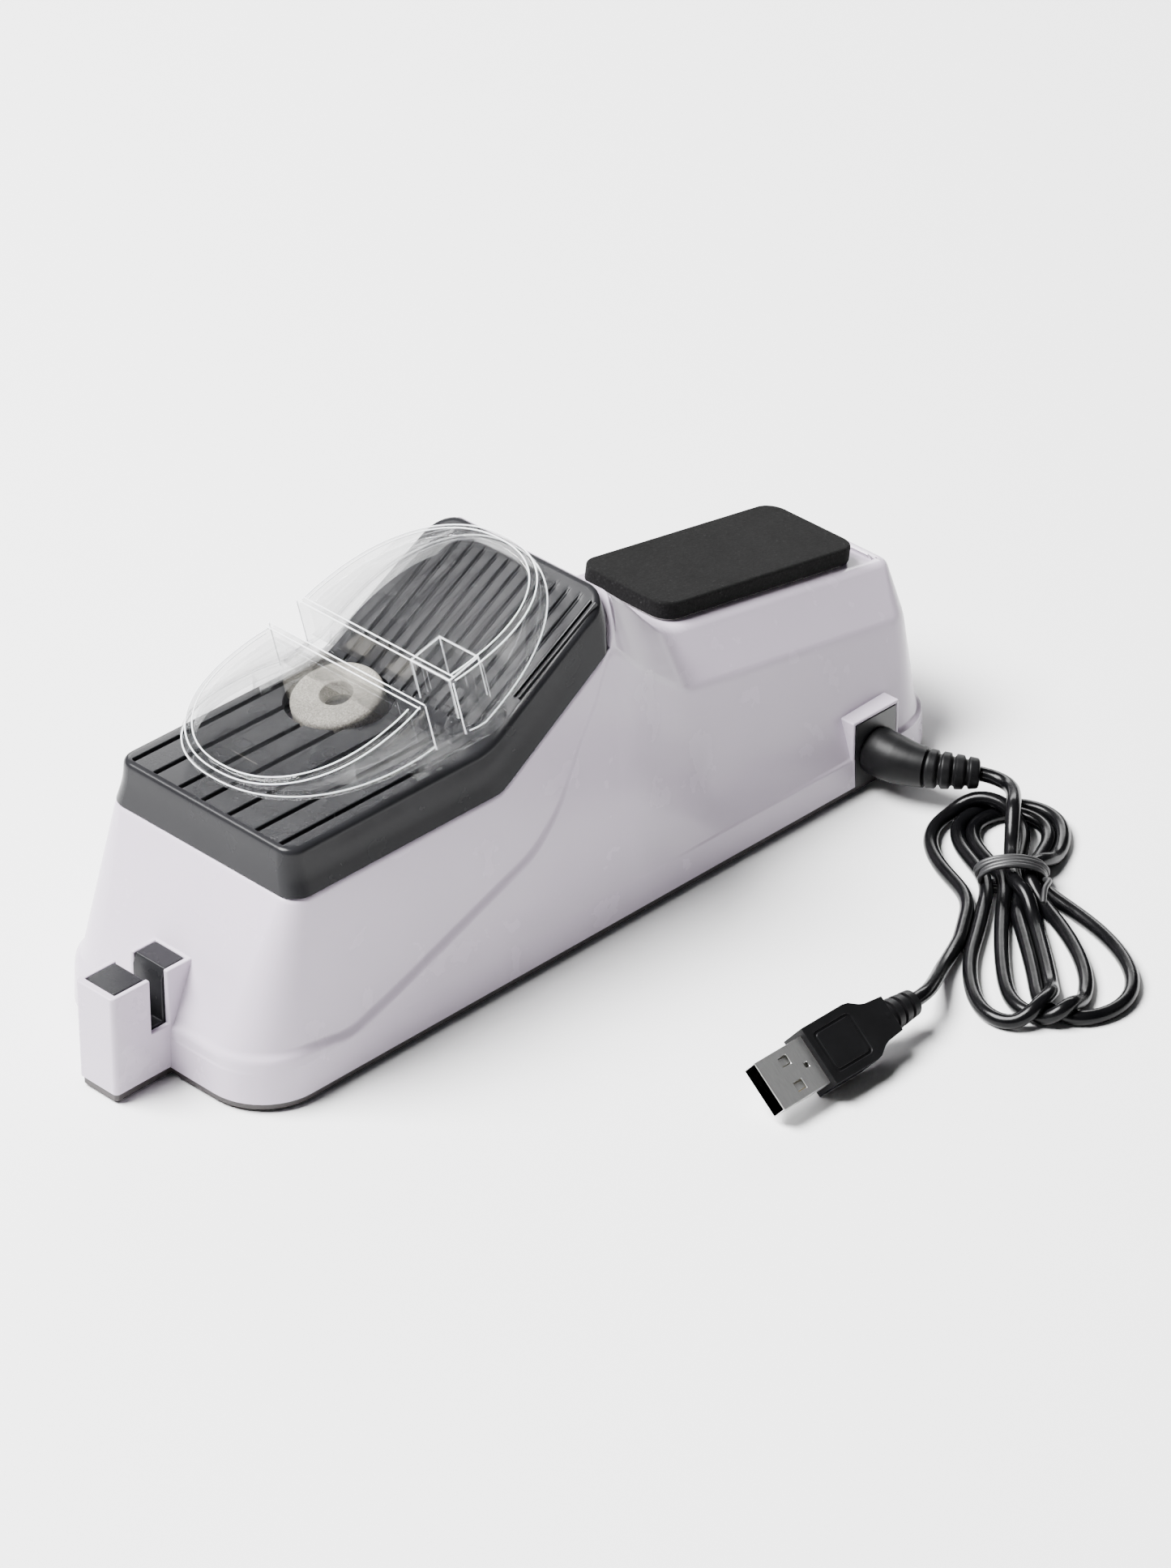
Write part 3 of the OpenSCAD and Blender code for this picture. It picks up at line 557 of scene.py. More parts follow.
def add_tie():
    """Wire tie: four slanting turns round the bundle, and a tail that leads off from the last turn."""
    way, side = axes(LOWER_WAY)
    wire_r = 0.65
    points = []
    turns = 4
    steps = 20
    for i in range(turns * steps + 1):
        t = 2 * math.pi * i / steps
        share = i / (turns * steps)
        ahead = -2.4 + 4.8 * share + 1.3 * math.sin(t + 0.6)
        wide = 7.6 + 0.5 * math.sin(2.2 * share * math.pi)
        xy = TIE + way * ahead + side * (wide * math.cos(t))
        points.append((xy[0], xy[1], max(wire_r, 4.2 + 4.3 * math.sin(t))))
    tail = points[-1]
    xy = np.array(tail[:2])
    for ahead, out, z in ((3, 1.2, 6.6), (6.5, 0.8, 8.6), (10, 2.2, 8.9), (14, 3, 7.7)):
        q = xy + way * ahead - side * out
        points.append((q[0], q[1], z))
    path = smooth_line(points, 0.9)
    obj = sweep("twist_tie_wire", path, [wire_r] * len(path), 10)
    return finish_piece(obj, "black_plastic", "lead", ["twist_tie"], 60)


def add_dc_plug():
    """Moulded plug: a smooth grip that tapers into a ribbed strain relief."""
    route = [(92, -35.1, 10), (92, -38.5, 10), (92.3, -42, 10), (93.3, -46, 10), (95, -50, 10), (97.2, -53.4, 9.9),
             (99.6, -56.4, 9.7), (101.8, -58.8, 9.5)]
    first_rib, last_rib, pitch, rib_depth, round_end = 14.2, 25.2, 3.1, 0.9, 0.7
    radius_at = [0, 3.4, 7, 11, 15.4, 19.4, 23.2, 26.5]
    radius = [5.9, 5.9, 5.7, 5.1, 4.6, 4.3, 4.0, 3.5]
    path = even_line(smooth_line(route, 0.5), 0.25)
    run = run_along(path)
    radii = []
    for s in run:
        r = np.interp(s, radius_at, radius)
        if s < 0.8:
            r -= 0.8 - math.sqrt(max(0, 0.64 - (0.8 - s) ** 2))
        ribs = 0.5 - 0.5 * math.tanh(4 * math.cos(2 * math.pi * (s - first_rib) / pitch) - 2.6)
        if first_rib < s < last_rib:
            r -= rib_depth * (1 - ribs) * min(1, (last_rib - s) / 0.6)
        if s > run[-1] - round_end:
            r -= round_end - math.sqrt(max(0, round_end ** 2 - (s - run[-1] + round_end) ** 2))
        radii.append(max(r, CORD_R))
    obj = sweep("dc_plug_moulding", path, radii, 32)
    return finish_piece(obj, "rubber_black", "lead", ["dc_plug_body"], 50)


USB_TURN = (Matrix.Translation(Vector((24, -109, 7.7)) * MM) @ Matrix.Rotation(math.radians(40), 4, "X")
            @ Matrix.Rotation(math.pi, 4, "Z"))


def add_usb_plug():
    """Moulding, metal shell with its windows, and contacts, in the plug's own frame."""
    half = [(14.6, 4.9), (16, 5.4), (18.4, 6.9), (20, 7.2), (33, 7.2)]
    outline = [(9.6, -4.4)] + [(x, -y) for x, y in half] + [(x, y) for x, y in reversed(half)] + [(9.6, 4.4)]
    body = prism("usb_moulding", outline, -4, 4)
    frame_cut = prism("tool", rounded_outline(19.6, 31.2, 5.2, 1.2, 4), 3.72, 6)
    inner = prism("tool_inner", rounded_outline(20.3, 30.5, 4.5, 0.8, 4), 3, 7)
    carve(frame_cut, inner)
    carve(body, frame_cut)
    soften(body, 0.7, 4, 50)
    relief_r = [(0, 2.3), (0.5, 3.1), (2.4, 3.3), (2.5, 2.6), (3.3, 2.6), (3.4, 3.4), (5.2, 3.6), (5.3, 2.8),
                (6.1, 2.8), (6.2, 3.7), (8, 3.9), (8.1, 3.3), (8.9, 3.3), (9, 4), (11.5, 4.1)]
    profile = [(0.001, 0)] + [(r, z) for z, r in relief_r] + [(0.001, 11.5)]
    relief = lathe("usb_strain_relief", profile, 32)
    moved(relief, degrees=90)
    shell = block("usb_metal_shell", (31, -6, -2.25), (47.5, 6, 2.25))
    carve(shell, block("tool", (32, -5.65, -1.9), (50, 5.65, 1.9)))
    for y in (-3.1, 3.1):
        carve(shell, block("tool", (39, y - 1.15, -5), (41.5, y + 1.15, 5)))
    carve(shell, block("tool", (35.2, -0.6, 1), (36.3, 0.6, 5)))
    soften(shell, 0.22, 2, 50)
    springs = []
    for y in (-3.1, 3.1):
        spring = block("usb_spring_" + ("a" if y < 0 else "b"), (38.6, y - 0.85, 1.2), (41.1, y + 0.85, 1.5))
        soften(spring, 0.1, 2)
        springs.append(spring)
    for obj, slot, nodes in ([(body, "rubber_black", ["usb_overmold"]), (relief, "rubber_black", []),
                              (shell, "nickel", ["usb_shell"])] + [(s, "nickel", []) for s in springs]):
        obj.data.transform(USB_TURN)
        finish_piece(obj, slot, "lead", nodes, 40)
    return [body, relief, shell] + springs


cord, CORD_LINE = add_cord()
tie = add_tie()
dc_plug = add_dc_plug()
usb_pieces = add_usb_plug()


# ---- Housing ----

# Levels, bottom to top: [front x, rear x, front corner radius, rear corner radius]
LEVELS = [(-103, 119, 15, 17), (-102.8, 118.8, 15, 17), (-102.6, 117.6, 14.8, 16.5), (-102.5, 117, 14.6, 9),
          (-101.3, 116.8, 14, 8.5), (-87.1, 116.3, 5, 3)]
# Crease between skirt and upper wall, rim height and rim half width, by x
CREASE = [(-88, 13.4), (-75, 11.3), (-61, 15.4), (-17, 30.3), (-8, 38), (0.5, 53), (7, 60), (9.5, 71), (15, 66),
          (25, 56), (38.5, 45), (107, 33.4), (119, 31.5)]
RIM_Z = [(-24.6, 48.9), (11, 69.8), (13, 77), (14.5, 81), (19, 77), (23.5, 73), (27.5, 69), (31.6, 64.5),
         (37.6, 58.5), (42, 56.1), (113, 44.1), (119, 43.1)]
RIM_HALF = [(-24.6, 30.1), (11, 28.3), (13, 27.5), (14.5, 23), (19, 21), (23.5, 20), (27.5, 19), (31.6, 18),
            (37.6, 17), (42, 16.5), (119, 16.5)]
UNDER_HALF = [(9.5, 28.4), (15, 28.7), (25, 27), (38.5, 25.4), (119, 25.4)]
OVER_HALF = [(9.5, 28.1), (15, 28.2), (25, 26.6), (38.5, 24.8), (119, 24.8)]
LEDGE = [(2, 0), (85, 0.6), (119, 1.5)]
PLATE_Z, EDGE_Z, SKIRT_Z, FOOT_HALF, WALL = 0.8, 2.5, 10, 35, 2.2
HUMP_X = 9.5
DECK_REAR_X = 11.5


def table(points, x, blur=0.0):
    """Value at x of a line through points, its corners rounded over a distance of blur each way."""
    xs, ys = zip(*points)
    if blur == 0:
        return float(np.interp(x, xs, ys))
    return float(np.mean(np.interp(np.linspace(x - blur, x + blur, 9), xs, ys)))


def rim_z(x):
    return table(RIM_Z, x, 0.0 if 10 < x < 16 else 1.6)


def level_z(k, x):
    top = rim_z(x)
    crease = table(CREASE, x, 3.0)
    return (EDGE_Z, SKIRT_Z, SKIRT_Z + 0.5, min(crease - 0.5, top - 1.5), min(crease + 0.8, top - 0.7), top)[k]


def level_half(k, x):
    crease = table(CREASE, x, 3.0)
    if k == 3:
        return FOOT_HALF - 0.25 - 0.105 * (crease - SKIRT_Z) if x < HUMP_X else table(UNDER_HALF, x, 2)
    if k == 4:
        return 33.2 - 0.085 * (crease - 12.2) if x < HUMP_X else table(OVER_HALF, x, 2)
    return (FOOT_HALF, FOOT_HALF - 0.25, FOOT_HALF - 0.25 - table(LEDGE, x), 0, 0, table(RIM_HALF, x, 1))[k]


SIDE_X = sorted(set(np.round(np.arange(-80, 10, 2.5), 2)) | set(np.round(np.arange(10, 44, 1.0), 2))
                | set(np.round(np.arange(44, 101, 3.0), 2)) | {13.0, 14.5})


def half_ring(k):
    """One level's line on the -Y side, front to rear, as (point, outward direction) pairs."""
    x0, x1, r0, r1 = LEVELS[k]

    def corner(x, r, start):
        return [(p, (math.cos(t), math.sin(t))) for p, t in faced_arc(x, r - level_half(k, x), r, start, 12)]

    out = corner(x0 + r0, r0, 180) + [((x, -level_half(k, x)), (0, -1)) for x in SIDE_X] + corner(x1 - r1, r1, 270)
    return [(Vector((*p, level_z(k, p[0]))), Vector((*d, 0))) for p, d in out]


def rounded_corner(before, corner, after, radius, steps):
    """Points of a soft bend at a corner of a line in space."""
    a = before - corner
    b = after - corner
    cut = min(radius, a.length * 0.45, b.length * 0.45)
    start = corner + a.normalized() * cut
    end = corner + b.normalized() * cut
    return [start.lerp(corner, t).lerp(corner.lerp(end, t), t) for t in (i / steps for i in range(steps + 1))]


def mirror_loop(half):
    return list(half) + [Vector((p.x, -p.y, p.z)) for p in reversed(half)]


def loft_faces(rings, count):
    return [(k * count + i, k * count + (i + 1) % count, (k + 1) * count + (i + 1) % count, (k + 1) * count + i)
            for k in range(rings - 1) for i in range(count)]


def housing_shell():
    """White shell: lofted walls with soft creases, a lip under the deck, and a closed top behind it."""
    halves = [half_ring(k) for k in range(len(LEVELS))]
    stations = len(halves[0])
    lip = 4.4
    corners = [(1.0, 2), (0.8, 2), (0.7, 2), (0.7, 2)]
    columns = []
    for i in range(stations):
        line = [halves[k][i][0] for k in range(len(LEVELS))]
        inward = line[-1] - halves[-1][i][1] * lip
        line.append(Vector((inward.x, inward.y, line[-1].z)))
        column = [line[0]]
        top_soft = 1.6 + 2.4 * max(0, halves[-1][i][1].x)
        for k, (radius, steps) in enumerate(corners + [(top_soft, 5)], 1):
            column += rounded_corner(line[k - 1], line[k], line[k + 1], radius, steps)
        column.append(line[-1])
        columns.append(column)
    levels = len(columns[0])
    rings = [mirror_loop([columns[i][k] for i in range(stations)]) for k in range(levels)]
    count = len(rings[0])
    points = [p for ring in rings for p in ring]
    faces = loft_faces(levels, count)
    top = (levels - 1) * count
    first = next(i for i in range(stations) if columns[i][-1].x > DECK_REAR_X)
    faces += [(top + i, top + i + 1, top + count - 2 - i, top + count - 1 - i) for i in range(first, stations - 1)]
    shell = new_object("housing_shell", points, faces)
    for low, high in (((-118, -4.7, -1), (-96.5, 4.7, 27)), ((85.3, -40, -1), (99, -20, 19.2)),
                      ((100, -9.6, 15.4), (130, 9.6, 28.6))):
        open_box(shell, low, high)
    thick = shell.modifiers.new("wall", "SOLIDIFY")
    thick.thickness = WALL * MM
    thick.offset = -1
    settle_modifiers(shell)
    finish_piece(shell, "white_housing", "root", ["upper_shell"], 28)


def front_block():
    """White block with the slot across it, on the housing's front wall."""
    body = prism("front_block", rounded_outline(-119, -94, 6.1, 1.2), EDGE_Z, 27.8)
    carve(body, block("tool", (-117.1, -4.7, -1), (-96.5, 4.7, 60)))
    carve(body, block("tool", (-108, -20, 13.9), (-103, 20, 60)))
    soften(body, 0.45, 3, 50)
    finish_piece(body, "white_housing", "root", ["upper_shell"], 40)


def socket_hood():
    """White frame that stands out of the sloping wall round the socket block."""
    body = prism("socket_hood", [(84.4, -34.9), (100, -34.9), (100, -26), (84.4, -26)], EDGE_Z, 20.1)
    carve(body, block("tool", (85.3, -40, -1), (99, -20, 19.2)))
    soften(body, 0.4, 3, 50)
    finish_piece(body, "white_housing", "root", ["upper_shell"], 40)


# ---- Deck ----

DECK_Z, BEND_X, SLOPE = 60, -26, 0.589
FRONT_GROOVES = (-23.2, -15.6, -6.9, 1.4, 8.7, 16.8, 24.1)
SLOPE_PITCH, SLOPE_LINES = 3.7, 12
WHEEL_AT, WHEEL_HOLE_R = Vector((-36.4, 10.2, 62.3)), 12.2
TILT = math.radians(14)


def tilt_about_y(at):
    return Matrix.Translation(Vector(at) * MM) @ Matrix.Rotation(-TILT, 4, "Y")


def deck_z(x):
    soft = 4.0
    return float(np.mean([DECK_Z + max(0, (x + d - BEND_X) * SLOPE) for d in np.linspace(-soft, soft, 9)]))


def slope_line(i):
    return (i - (SLOPE_LINES - 1) / 2) * SLOPE_PITCH


# Half of a groove's cross-section: (distance from its middle, depth). The fine lines have a raised lip
FRONT_CUT = [(0.5, 0.9), (0.58, 0.3), (0.66, 0.08), (0.76, 0.01), (0.9, 0.0)]
SLOPE_CUT = [(0.15, 0.4), (0.25, 0.1), (0.36, -0.13), (0.48, -0.18), (0.6, -0.11), (0.74, 0.0)]


def groove_depth(x, y):
    """Depth below the deck's surface at a point: long grooves in front, fine lines up the slope."""
    depth = 0.0
    if -85.2 < x < BEND_X - 1:
        for g in FRONT_GROOVES:
            depth = max(depth, table(FRONT_CUT, abs(y - g)))
    if BEND_X + 1.5 < x < 9:
        depth = table(SLOPE_CUT, min(abs(y - slope_line(i)) for i in range(SLOPE_LINES)))
    return depth


def closed_loft(name, rings, rows=None):
    """Solid through loops of equal count. rows, if given, are the rows of extra points across its top."""
    count = len(rings[0])
    points = [p for ring in rings for p in ring]
    half = count // 2
    faces = loft_faces(len(rings), count)
    if rows:
        last = (len(rings) - 2) * count
        faces = [f for k, f in enumerate(faces) if k - last not in (half - 1, count - 1)]
    faces += [(count - 1 - i, count - 2 - i, i + 1, i) for i in range(half - 1)]
    top = (len(rings) - 1) * count
    if not rows:
        faces += [(top + i, top + i + 1, top + count - 2 - i, top + count - 1 - i) for i in range(half - 1)]
        return new_object(name, points, faces)
    ids = []
    for i, row in enumerate(rows):
        start = len(points)
        points += row
        ids.append([top + i] + list(range(start, len(points))) + [top + count - 1 - i])
    for a, b in zip(ids, ids[1:]):
        faces += [(a[j], b[j], b[j + 1], a[j + 1]) for j in range(len(a) - 1)]
    below = top - count
    faces.append((below, *ids[0], below + count - 1))
    faces.append((below + half, *reversed(ids[-1]), below + half - 1))
    return new_object(name, points, faces)


def deck_half(x, front, rear):
    return front + (rear - front) * min(1, max(0, (x + 24.6) / 36))


def deck_shell():
    """Dark deck: tapering sides, a soft top edge, grooves along it, and the opening for the wheel."""
    side_x = sorted(set(np.round(np.arange(-80, 5, 2.0), 2)) | {-27.2, -26.9, -24.6, -24.3})
    # Front x, rear x, corner radii and half widths of the foot, side and top lines
    specs = [(-87.1, 10.8, 5, 2, 30.1, 28.3), (-86.3, 12.8, 4.6, 4, 28.3, 27.4), (-86, 12.9, 4.5, 7, 27.9, 26.5)]
    lines = []
    for a, b, r0, r1, front, rear in specs:
        h0, h1 = deck_half(a + r0, front, rear), deck_half(b - r1, front, rear)
        line = faced_arc(a + r0, -h0 + r0, r0, 180, 9)
        line += [((x, -deck_half(x, front, rear)), math.radians(270)) for x in side_x]
        lines.append(line + faced_arc(b - r1, -h1 + r1, r1, 270, 9))
    columns = []
    for low, mid, top in zip(*lines):
        inward = Vector((-math.cos(top[1]), -math.sin(top[1]), 0)) * 6
        low = Vector((*low[0], rim_z(low[0][0]) + 0.05))
        mid = Vector((*mid[0], deck_z(mid[0][0]) - 5.5))
        top = Vector((*top[0], deck_z(top[0][0])))
        beyond = top + inward
        beyond.z = deck_z(beyond.x)
        columns.append([low, low.lerp(mid, 0.5)] + rounded_corner(low, mid, top, 2, 2)
                       + rounded_corner(mid, top, beyond, 1.6, 5))
    rings = [mirror_loop([column[k] for column in columns]) for k in range(len(columns[0]))]
    cuts = {round(g + s * w, 2) for g in FRONT_GROOVES for s in (-1, 1) for w, _ in FRONT_CUT}
    cuts |= {round(slope_line(i) + s * w, 2) for i in range(SLOPE_LINES) for s in (-1, 1) for w, _ in SLOPE_CUT}
    cuts = sorted(y for y in cuts if abs(y) < 24.9)
    rows = []
    for column in columns:
        edge = column[-1]
        row = []
        for j, y in enumerate(cuts):
            limit = abs(edge.y) - 0.4 + 0.015 * abs(j - len(cuts) / 2) / len(cuts)
            kept = max(-limit, min(limit, y))
            clear = kept == y and edge.x > -86 + 1.75
            row.append(Vector((edge.x, kept + 0.002 * (j - len(cuts) / 2) * (kept != y),
                               edge.z - (groove_depth(edge.x, y) if clear else 0))))
        rows.append(row)
    deck = closed_loft("deck_shell", rings, rows)
    inner = []
    # The same for the hollow, with its depth under the surface
    for a, b, r0, r1, front, rear, drop in ((-84.9, 8.6, 3, 1, 27.9, 26.1, None),
                                            (-83.8, 9.7, 2.5, 3, 25.7, 24.3, 2.4)):
        h0, h1 = deck_half(a + r0, front, rear), deck_half(b - r1, front, rear)
        line = arc(a + r0, -h0 + r0, r0, 180, 270, 4) + [(x, -deck_half(x, front, rear)) for x in side_x[::3]]
        line += arc(b - r1, -h1 + r1, r1, 270, 360, 4)
        inner.append(mirror_loop([Vector((x, y, deck_z(x) - drop if drop else rim_z(x) - 3)) for x, y in line]))
    carve(deck, closed_loft("tool", inner))
    ways = np.linspace(0, 2 * math.pi, 97)[:-1]
    hole = prism("tool", [(WHEEL_HOLE_R * math.cos(t), WHEEL_HOLE_R * math.sin(t)) for t in ways], -20, 20)
    hole.data.transform(tilt_about_y(WHEEL_AT))
    carve(deck, hole)
    finish_piece(deck, "dark_deck", "root", ["deck_cover"], 32)


def deck_ridges():
    """Two thin ridges beside the slope."""
    angle = math.atan(SLOPE)
    for k, y in enumerate((-25.4, -23.9)):
        ridge = block("deck_ridge_%d" % (k + 1), (13, -0.3, -0.5), (41, 0.3, 0.7))
        soften(ridge, 0.15, 2)
        ridge.data.transform(Matrix.Translation(Vector((BEND_X, y, DECK_Z)) * MM) @ Matrix.Rotation(-angle, 4, "Y"))
        finish_piece(ridge, "dark_deck", "root", ["deck_cover"], 40)


# ---- Clear guard ----

GUARD_AT = (-38.4, 0, 78.2)
GUARD_FRONT, GUARD_REAR, GUARD_HALF = 44.8, 46.3, 25.1
FRONT_A, REAR_A = 29.8, 32.6
GUARD_WALL, KNIFE_GAP, GUARD_LIFT = 1.8, 8.7, 4.5
SLOT_WALL, FULLNESS, BEAD_R = 1.5, 0.89, 0.17


def guard_outline(grow):
    """Plan of the guard: a rounded end for each lobe, a little fuller than an ellipse."""
    n = 60
    points = []
    for middle, a, turn in ((GUARD_REAR - REAR_A, REAR_A + grow, 106), (FRONT_A - GUARD_FRONT, -FRONT_A - grow, 111)):
        for i in range(n + 1):
            t = math.radians(turn * (2 * i / n - 1))
            c, s = math.cos(t), math.sin(t)
            points.append((middle + a * math.copysign(abs(c) ** FULLNESS, c),
                           math.copysign((GUARD_HALF + grow) * abs(s) ** FULLNESS, a * s)))
    return points


def guard_bar(grow, top, bottom, soft=0.0):
    """Solid with the guard's plan, its top edge rounded off by soft."""
    ways = [math.pi / 2 * i / 7 for i in range(8)] if soft else [math.pi / 2]
    levels = [(bottom, grow)] + [(top - soft * (1 - math.sin(t)), grow - soft * (1 - math.cos(t))) for t in ways]
    rings = [[(x, y, z) for x, y in guard_outline(g)] for z, g in levels]
    n = len(rings[0])
    points = [p for ring in rings for p in ring]
    faces = [tuple(range(n)), tuple(range(len(points) - n, len(points)))] + loft_faces(len(rings), n)
    return new_object("tool", points, faces)


def in_guard(obj):
    """Moves a shape made in the row frame into the guard's own tilted frame."""
    obj.data.transform(tilt_about_y(GUARD_AT).inverted())
    return obj


def above_deck(lift, thick=300):
    """Space over the deck's surface, from lift to lift and thick above it, in the guard's frame."""
    z = DECK_Z + lift
    line = [(-200, z), (BEND_X, z), (BEND_X + 80, z + 80 * SLOPE)]
    outline = line + [(x, y + thick) for x, y in reversed(line)]
    obj = prism("tool", outline, -60, 60)
    return in_guard(moved(obj, degrees=90, axis="X"))


def clear_guard():
    """Two clear lobes with the knife slot between them, their flange, the post, rails, legs and the V guide."""
    s = KNIFE_GAP / 2
    wall = s + SLOT_WALL
    guard = guard_bar(0, 0, -40, 2.2)
    combine(guard, above_deck(GUARD_LIFT), "INTERSECT")
    # Hollows of the two lobes, and of the channel under the knife slot
    for low, high, top, soft in ((-60, -wall, -GUARD_WALL, 0.9), (wall, 60, -GUARD_WALL, 0.9),
                                 (-wall - 0.2, wall + 0.2, -9.5, 0)):
        hollow = guard_bar(-GUARD_WALL, top, -60, soft)
        combine(hollow, block("tool", (low, -40, -55), (high, 40, 5)), "INTERSECT")
        carve(guard, hollow)
    carve(guard, block("tool", (-s, -40, -11.5), (s, 40, 5)))
    flange = guard_bar(1, -0.5, -40)
    combine(flange, above_deck(GUARD_LIFT - 0.1, 1.9), "INTERSECT")
    carve(flange, guard_bar(-1.5, 10, -60))
    combine(guard, flange, "UNION")
    # Hollow post
    post = block("tool", (4.9, -23, -13), (14, -10.8, -0.9))
    carve(post, block("tool", (6.1, -21.9, -30), (12.8, -12, -1)))
    combine(post, above_deck(GUARD_LIFT - 0.2), "INTERSECT")
    combine(guard, post, "UNION")
    # Rail and two legs on each side
    for side in (-1, 1):
        for x0, x1, y0, y1, z0, z1 in ((-47, -19, 23.6, 25.6, 61.5, 66), (-46.5, -43, 23.8, 26.4, 55, 65.7),
                                       (-23, -19.5, 23.8, 26.4, 55, 67.7)):
            foot = block("tool", (x0, min(side * y0, side * y1), z0), (x1, max(side * y0, side * y1), z1))
            combine(in_guard(foot), above_deck(0.2), "INTERSECT")
            combine(guard, foot, "UNION")
    # V guide at the near end of the slot, and the bridge across the slot
    for q, front, back in ((-24, -3, 1), (24, -2.9, 0.9)):
        leaf = moved(block("tool", (-0.6, front, 0), (0.6, back, 5)), (-33.6, -21.6, 63), q)
        combine(guard, in_guard(leaf), "UNION")
    combine(guard, block("tool", (-38.5, -7, -0.5), (-34.4, 7, 0.35)), "UNION")
    guard.name = "clear_guard"
    guard.data.transform(tilt_about_y(GUARD_AT))
    finish_piece(guard, "clear_guard", "guard", ["clear_cover"], 20)


def on_flange(x, y, lift):
    """Point of the guard's frame at a height over the deck, below a place of the plan."""
    z = -10.0
    for _ in range(8):
        p = tilt_about_y(GUARD_AT) @ (Vector((x, y, z)) * MM) / MM
        z += lift - (p.z - DECK_Z - max(0, p.x - BEND_X) * SLOPE)
    return (x, y, z)


def box_lines(low, high):
    """Top square and upright edges of a box."""
    corners = box_corners(low, high)
    lines = [[(*corners[i], high[2]), (*corners[(i + 1) % 4], high[2])] for i in range(4)]
    return lines + [[(*c, low[2]), (*c, high[2])] for c in corners]


def guard_edge_highlights():
    """Painted highlights along the clear moulding's rounded edges: thin beads along them, pale and faintly glowing.
    """
    s = KNIFE_GAP / 2
    lines = []
    for grow, z, reach in ((-0.4, -0.6, s), (-2, -0.05, s + SLOT_WALL)):
        for side in (-1, 1):
            lines.append([(x, y, z) for x, y in guard_outline(grow) if side * x > reach])
    for side in (-1, 1):
        lines.append([on_flange(x, y, GUARD_LIFT + 0.9) for x, y in guard_outline(0.9) if side * x > s])
    for x in (-s - 1.4, -s, s, s + 1.4):
        half = GUARD_HALF * (1 - 0.03 * (x > 0)) - 0.5
        lines.append([(x, -half, -0.1), (x, half, -0.1)])
    for x in (-s, s):
        for y in (-GUARD_HALF + 0.3, GUARD_HALF - 0.3):
            lines.append([(x, y, -0.4), on_flange(x, y, GUARD_LIFT)])
    lines += box_lines((4.95, -22.9, -12), (13.9, -10.9, -0.9))
    beads = [sweep("bead", line, [BEAD_R] * len(line), 8) for line in lines]
    bm = bmesh.new()
    for bead in beads:
        bm.from_mesh(bead.data)
    edges = new_object("guard_edge_highlights", [(0, 0, 0), (1, 0, 0), (0, 1, 0)], [(0, 1, 2)])
    bm.to_mesh(edges.data)
    bm.free()
    for bead in beads:
        bpy.data.objects.remove(bead)
    edges.data.transform(tilt_about_y(GUARD_AT))
    finish_piece(edges, "clear_guard", "guard", ["clear_cover"], 60)
    # The beads' pale colour and faint glow are a painted highlight, not a part of the moulding.
    edges.data.materials[0] = mixed_finish(
        "painted_edge_highlight", (60, 2), (0.93, 0.94, 0.95), (0.98, 0.98, 0.99), (90, 3, 0.15, 0.4),
        Transmission_Weight=0.3, IOR=1.22, Emission_Color=(0.92, 0.95, 1.0, 1), Emission_Strength=0.35)


# ---- Wheel, pad, front insert and the small pieces ----

def wheel():
    edge = 1.3
    profile = [(4.1, 0), (3.8, -0.3), (3.8, -8)] + arc(10.7 - edge, -8 + edge, edge, -90, 0, 6)
    profile += arc(10.7 - edge, -edge, edge, 0, 90, 6)
    obj = lathe("grit_wheel", profile, 96)
    obj.data.transform(tilt_about_y(WHEEL_AT))
    finish_piece(obj, "abrasive", "rotor", ["grinding_wheel"], 50)


def honing_pad():
    obj = prism("honing_pad", rounded_outline(0, 65.4, 14.3, 5, 10), 0.5, 4.9)
    soften(obj, 0.7, 4, 40)
    moved(obj, (42.5, 0, 56), 9.6)
    finish_piece(obj, "pad_black", "root", ["polishing_pad"], 40)


def front_insert():
    """Dark insert with flared jaws across its top."""
    obj = prism("slot_insert", rounded_outline(-117, -96.6, 4.6, 0.8), EDGE_Z, 27.7)
    x0, x1, low, top, flare = -107.4, -103.6, 14.4, 27.7, 1.6
    jaws = prism("tool", [(x0, low), (x1, low), (x1, top - 2.4), (x1 + flare, top + 1), (x0 - flare, top + 1),
                          (x0, top - 2.4)], -20, 20)
    carve(obj, moved(jaws, degrees=90, axis="X"))
    soften(obj, 0.3, 3, 40)
    finish_piece(obj, "dark_deck", "root", ["block_insert"], 35)


def base():
    """Dark base plate, and the rubber feet under it."""
    ring = [(p.x * (1 - 0.6 / 119), p.y * (1 - 0.6 / FOOT_HALF)) for p in mirror_loop([q for q, _ in half_ring(0)])]
    plate = prism("base_tray", ring, PLATE_Z, EDGE_Z)
    combine(plate, prism("tool", rounded_outline(-118.5, -95, 5.6, 1), PLATE_Z, EDGE_Z), "UNION")
    for x, y in ((-78, -27), (-78, 27), (76, -27), (92, 27)):
        hole = lathe("tool", [(0.001, -1), (3.1, -1), (2.9, 0), (1.5, 1.4), (1.5, 5), (0.001, 5)], 24)
        carve(plate, moved(hole, (x, y, PLATE_Z)))
    feet_at = ((-86, -22), (-86, 22), (100, -22), (100, 22))
    for x, y in feet_at:
        hole = lathe("tool", [(0.001, -1), (6.1, -1), (6.1, 0.6), (0.001, 0.6)], 48)
        carve(plate, moved(hole, (x, y, PLATE_Z)))
    finish_piece(plate, "dark_base", "root", ["base_plate"], 35)
    for k, (x, y) in enumerate(feet_at):
        profile = [(0.001, 0), (5.3, 0), (5.8, 0.3), (6, 0.8), (6, 1.4), (0.001, 1.4)]
        foot = moved(lathe("rubber_foot_%d" % (k + 1), profile, 48), (x, y, 0))
        finish_piece(foot, "rubber_black", "root", ["rubber_feet"], 40)


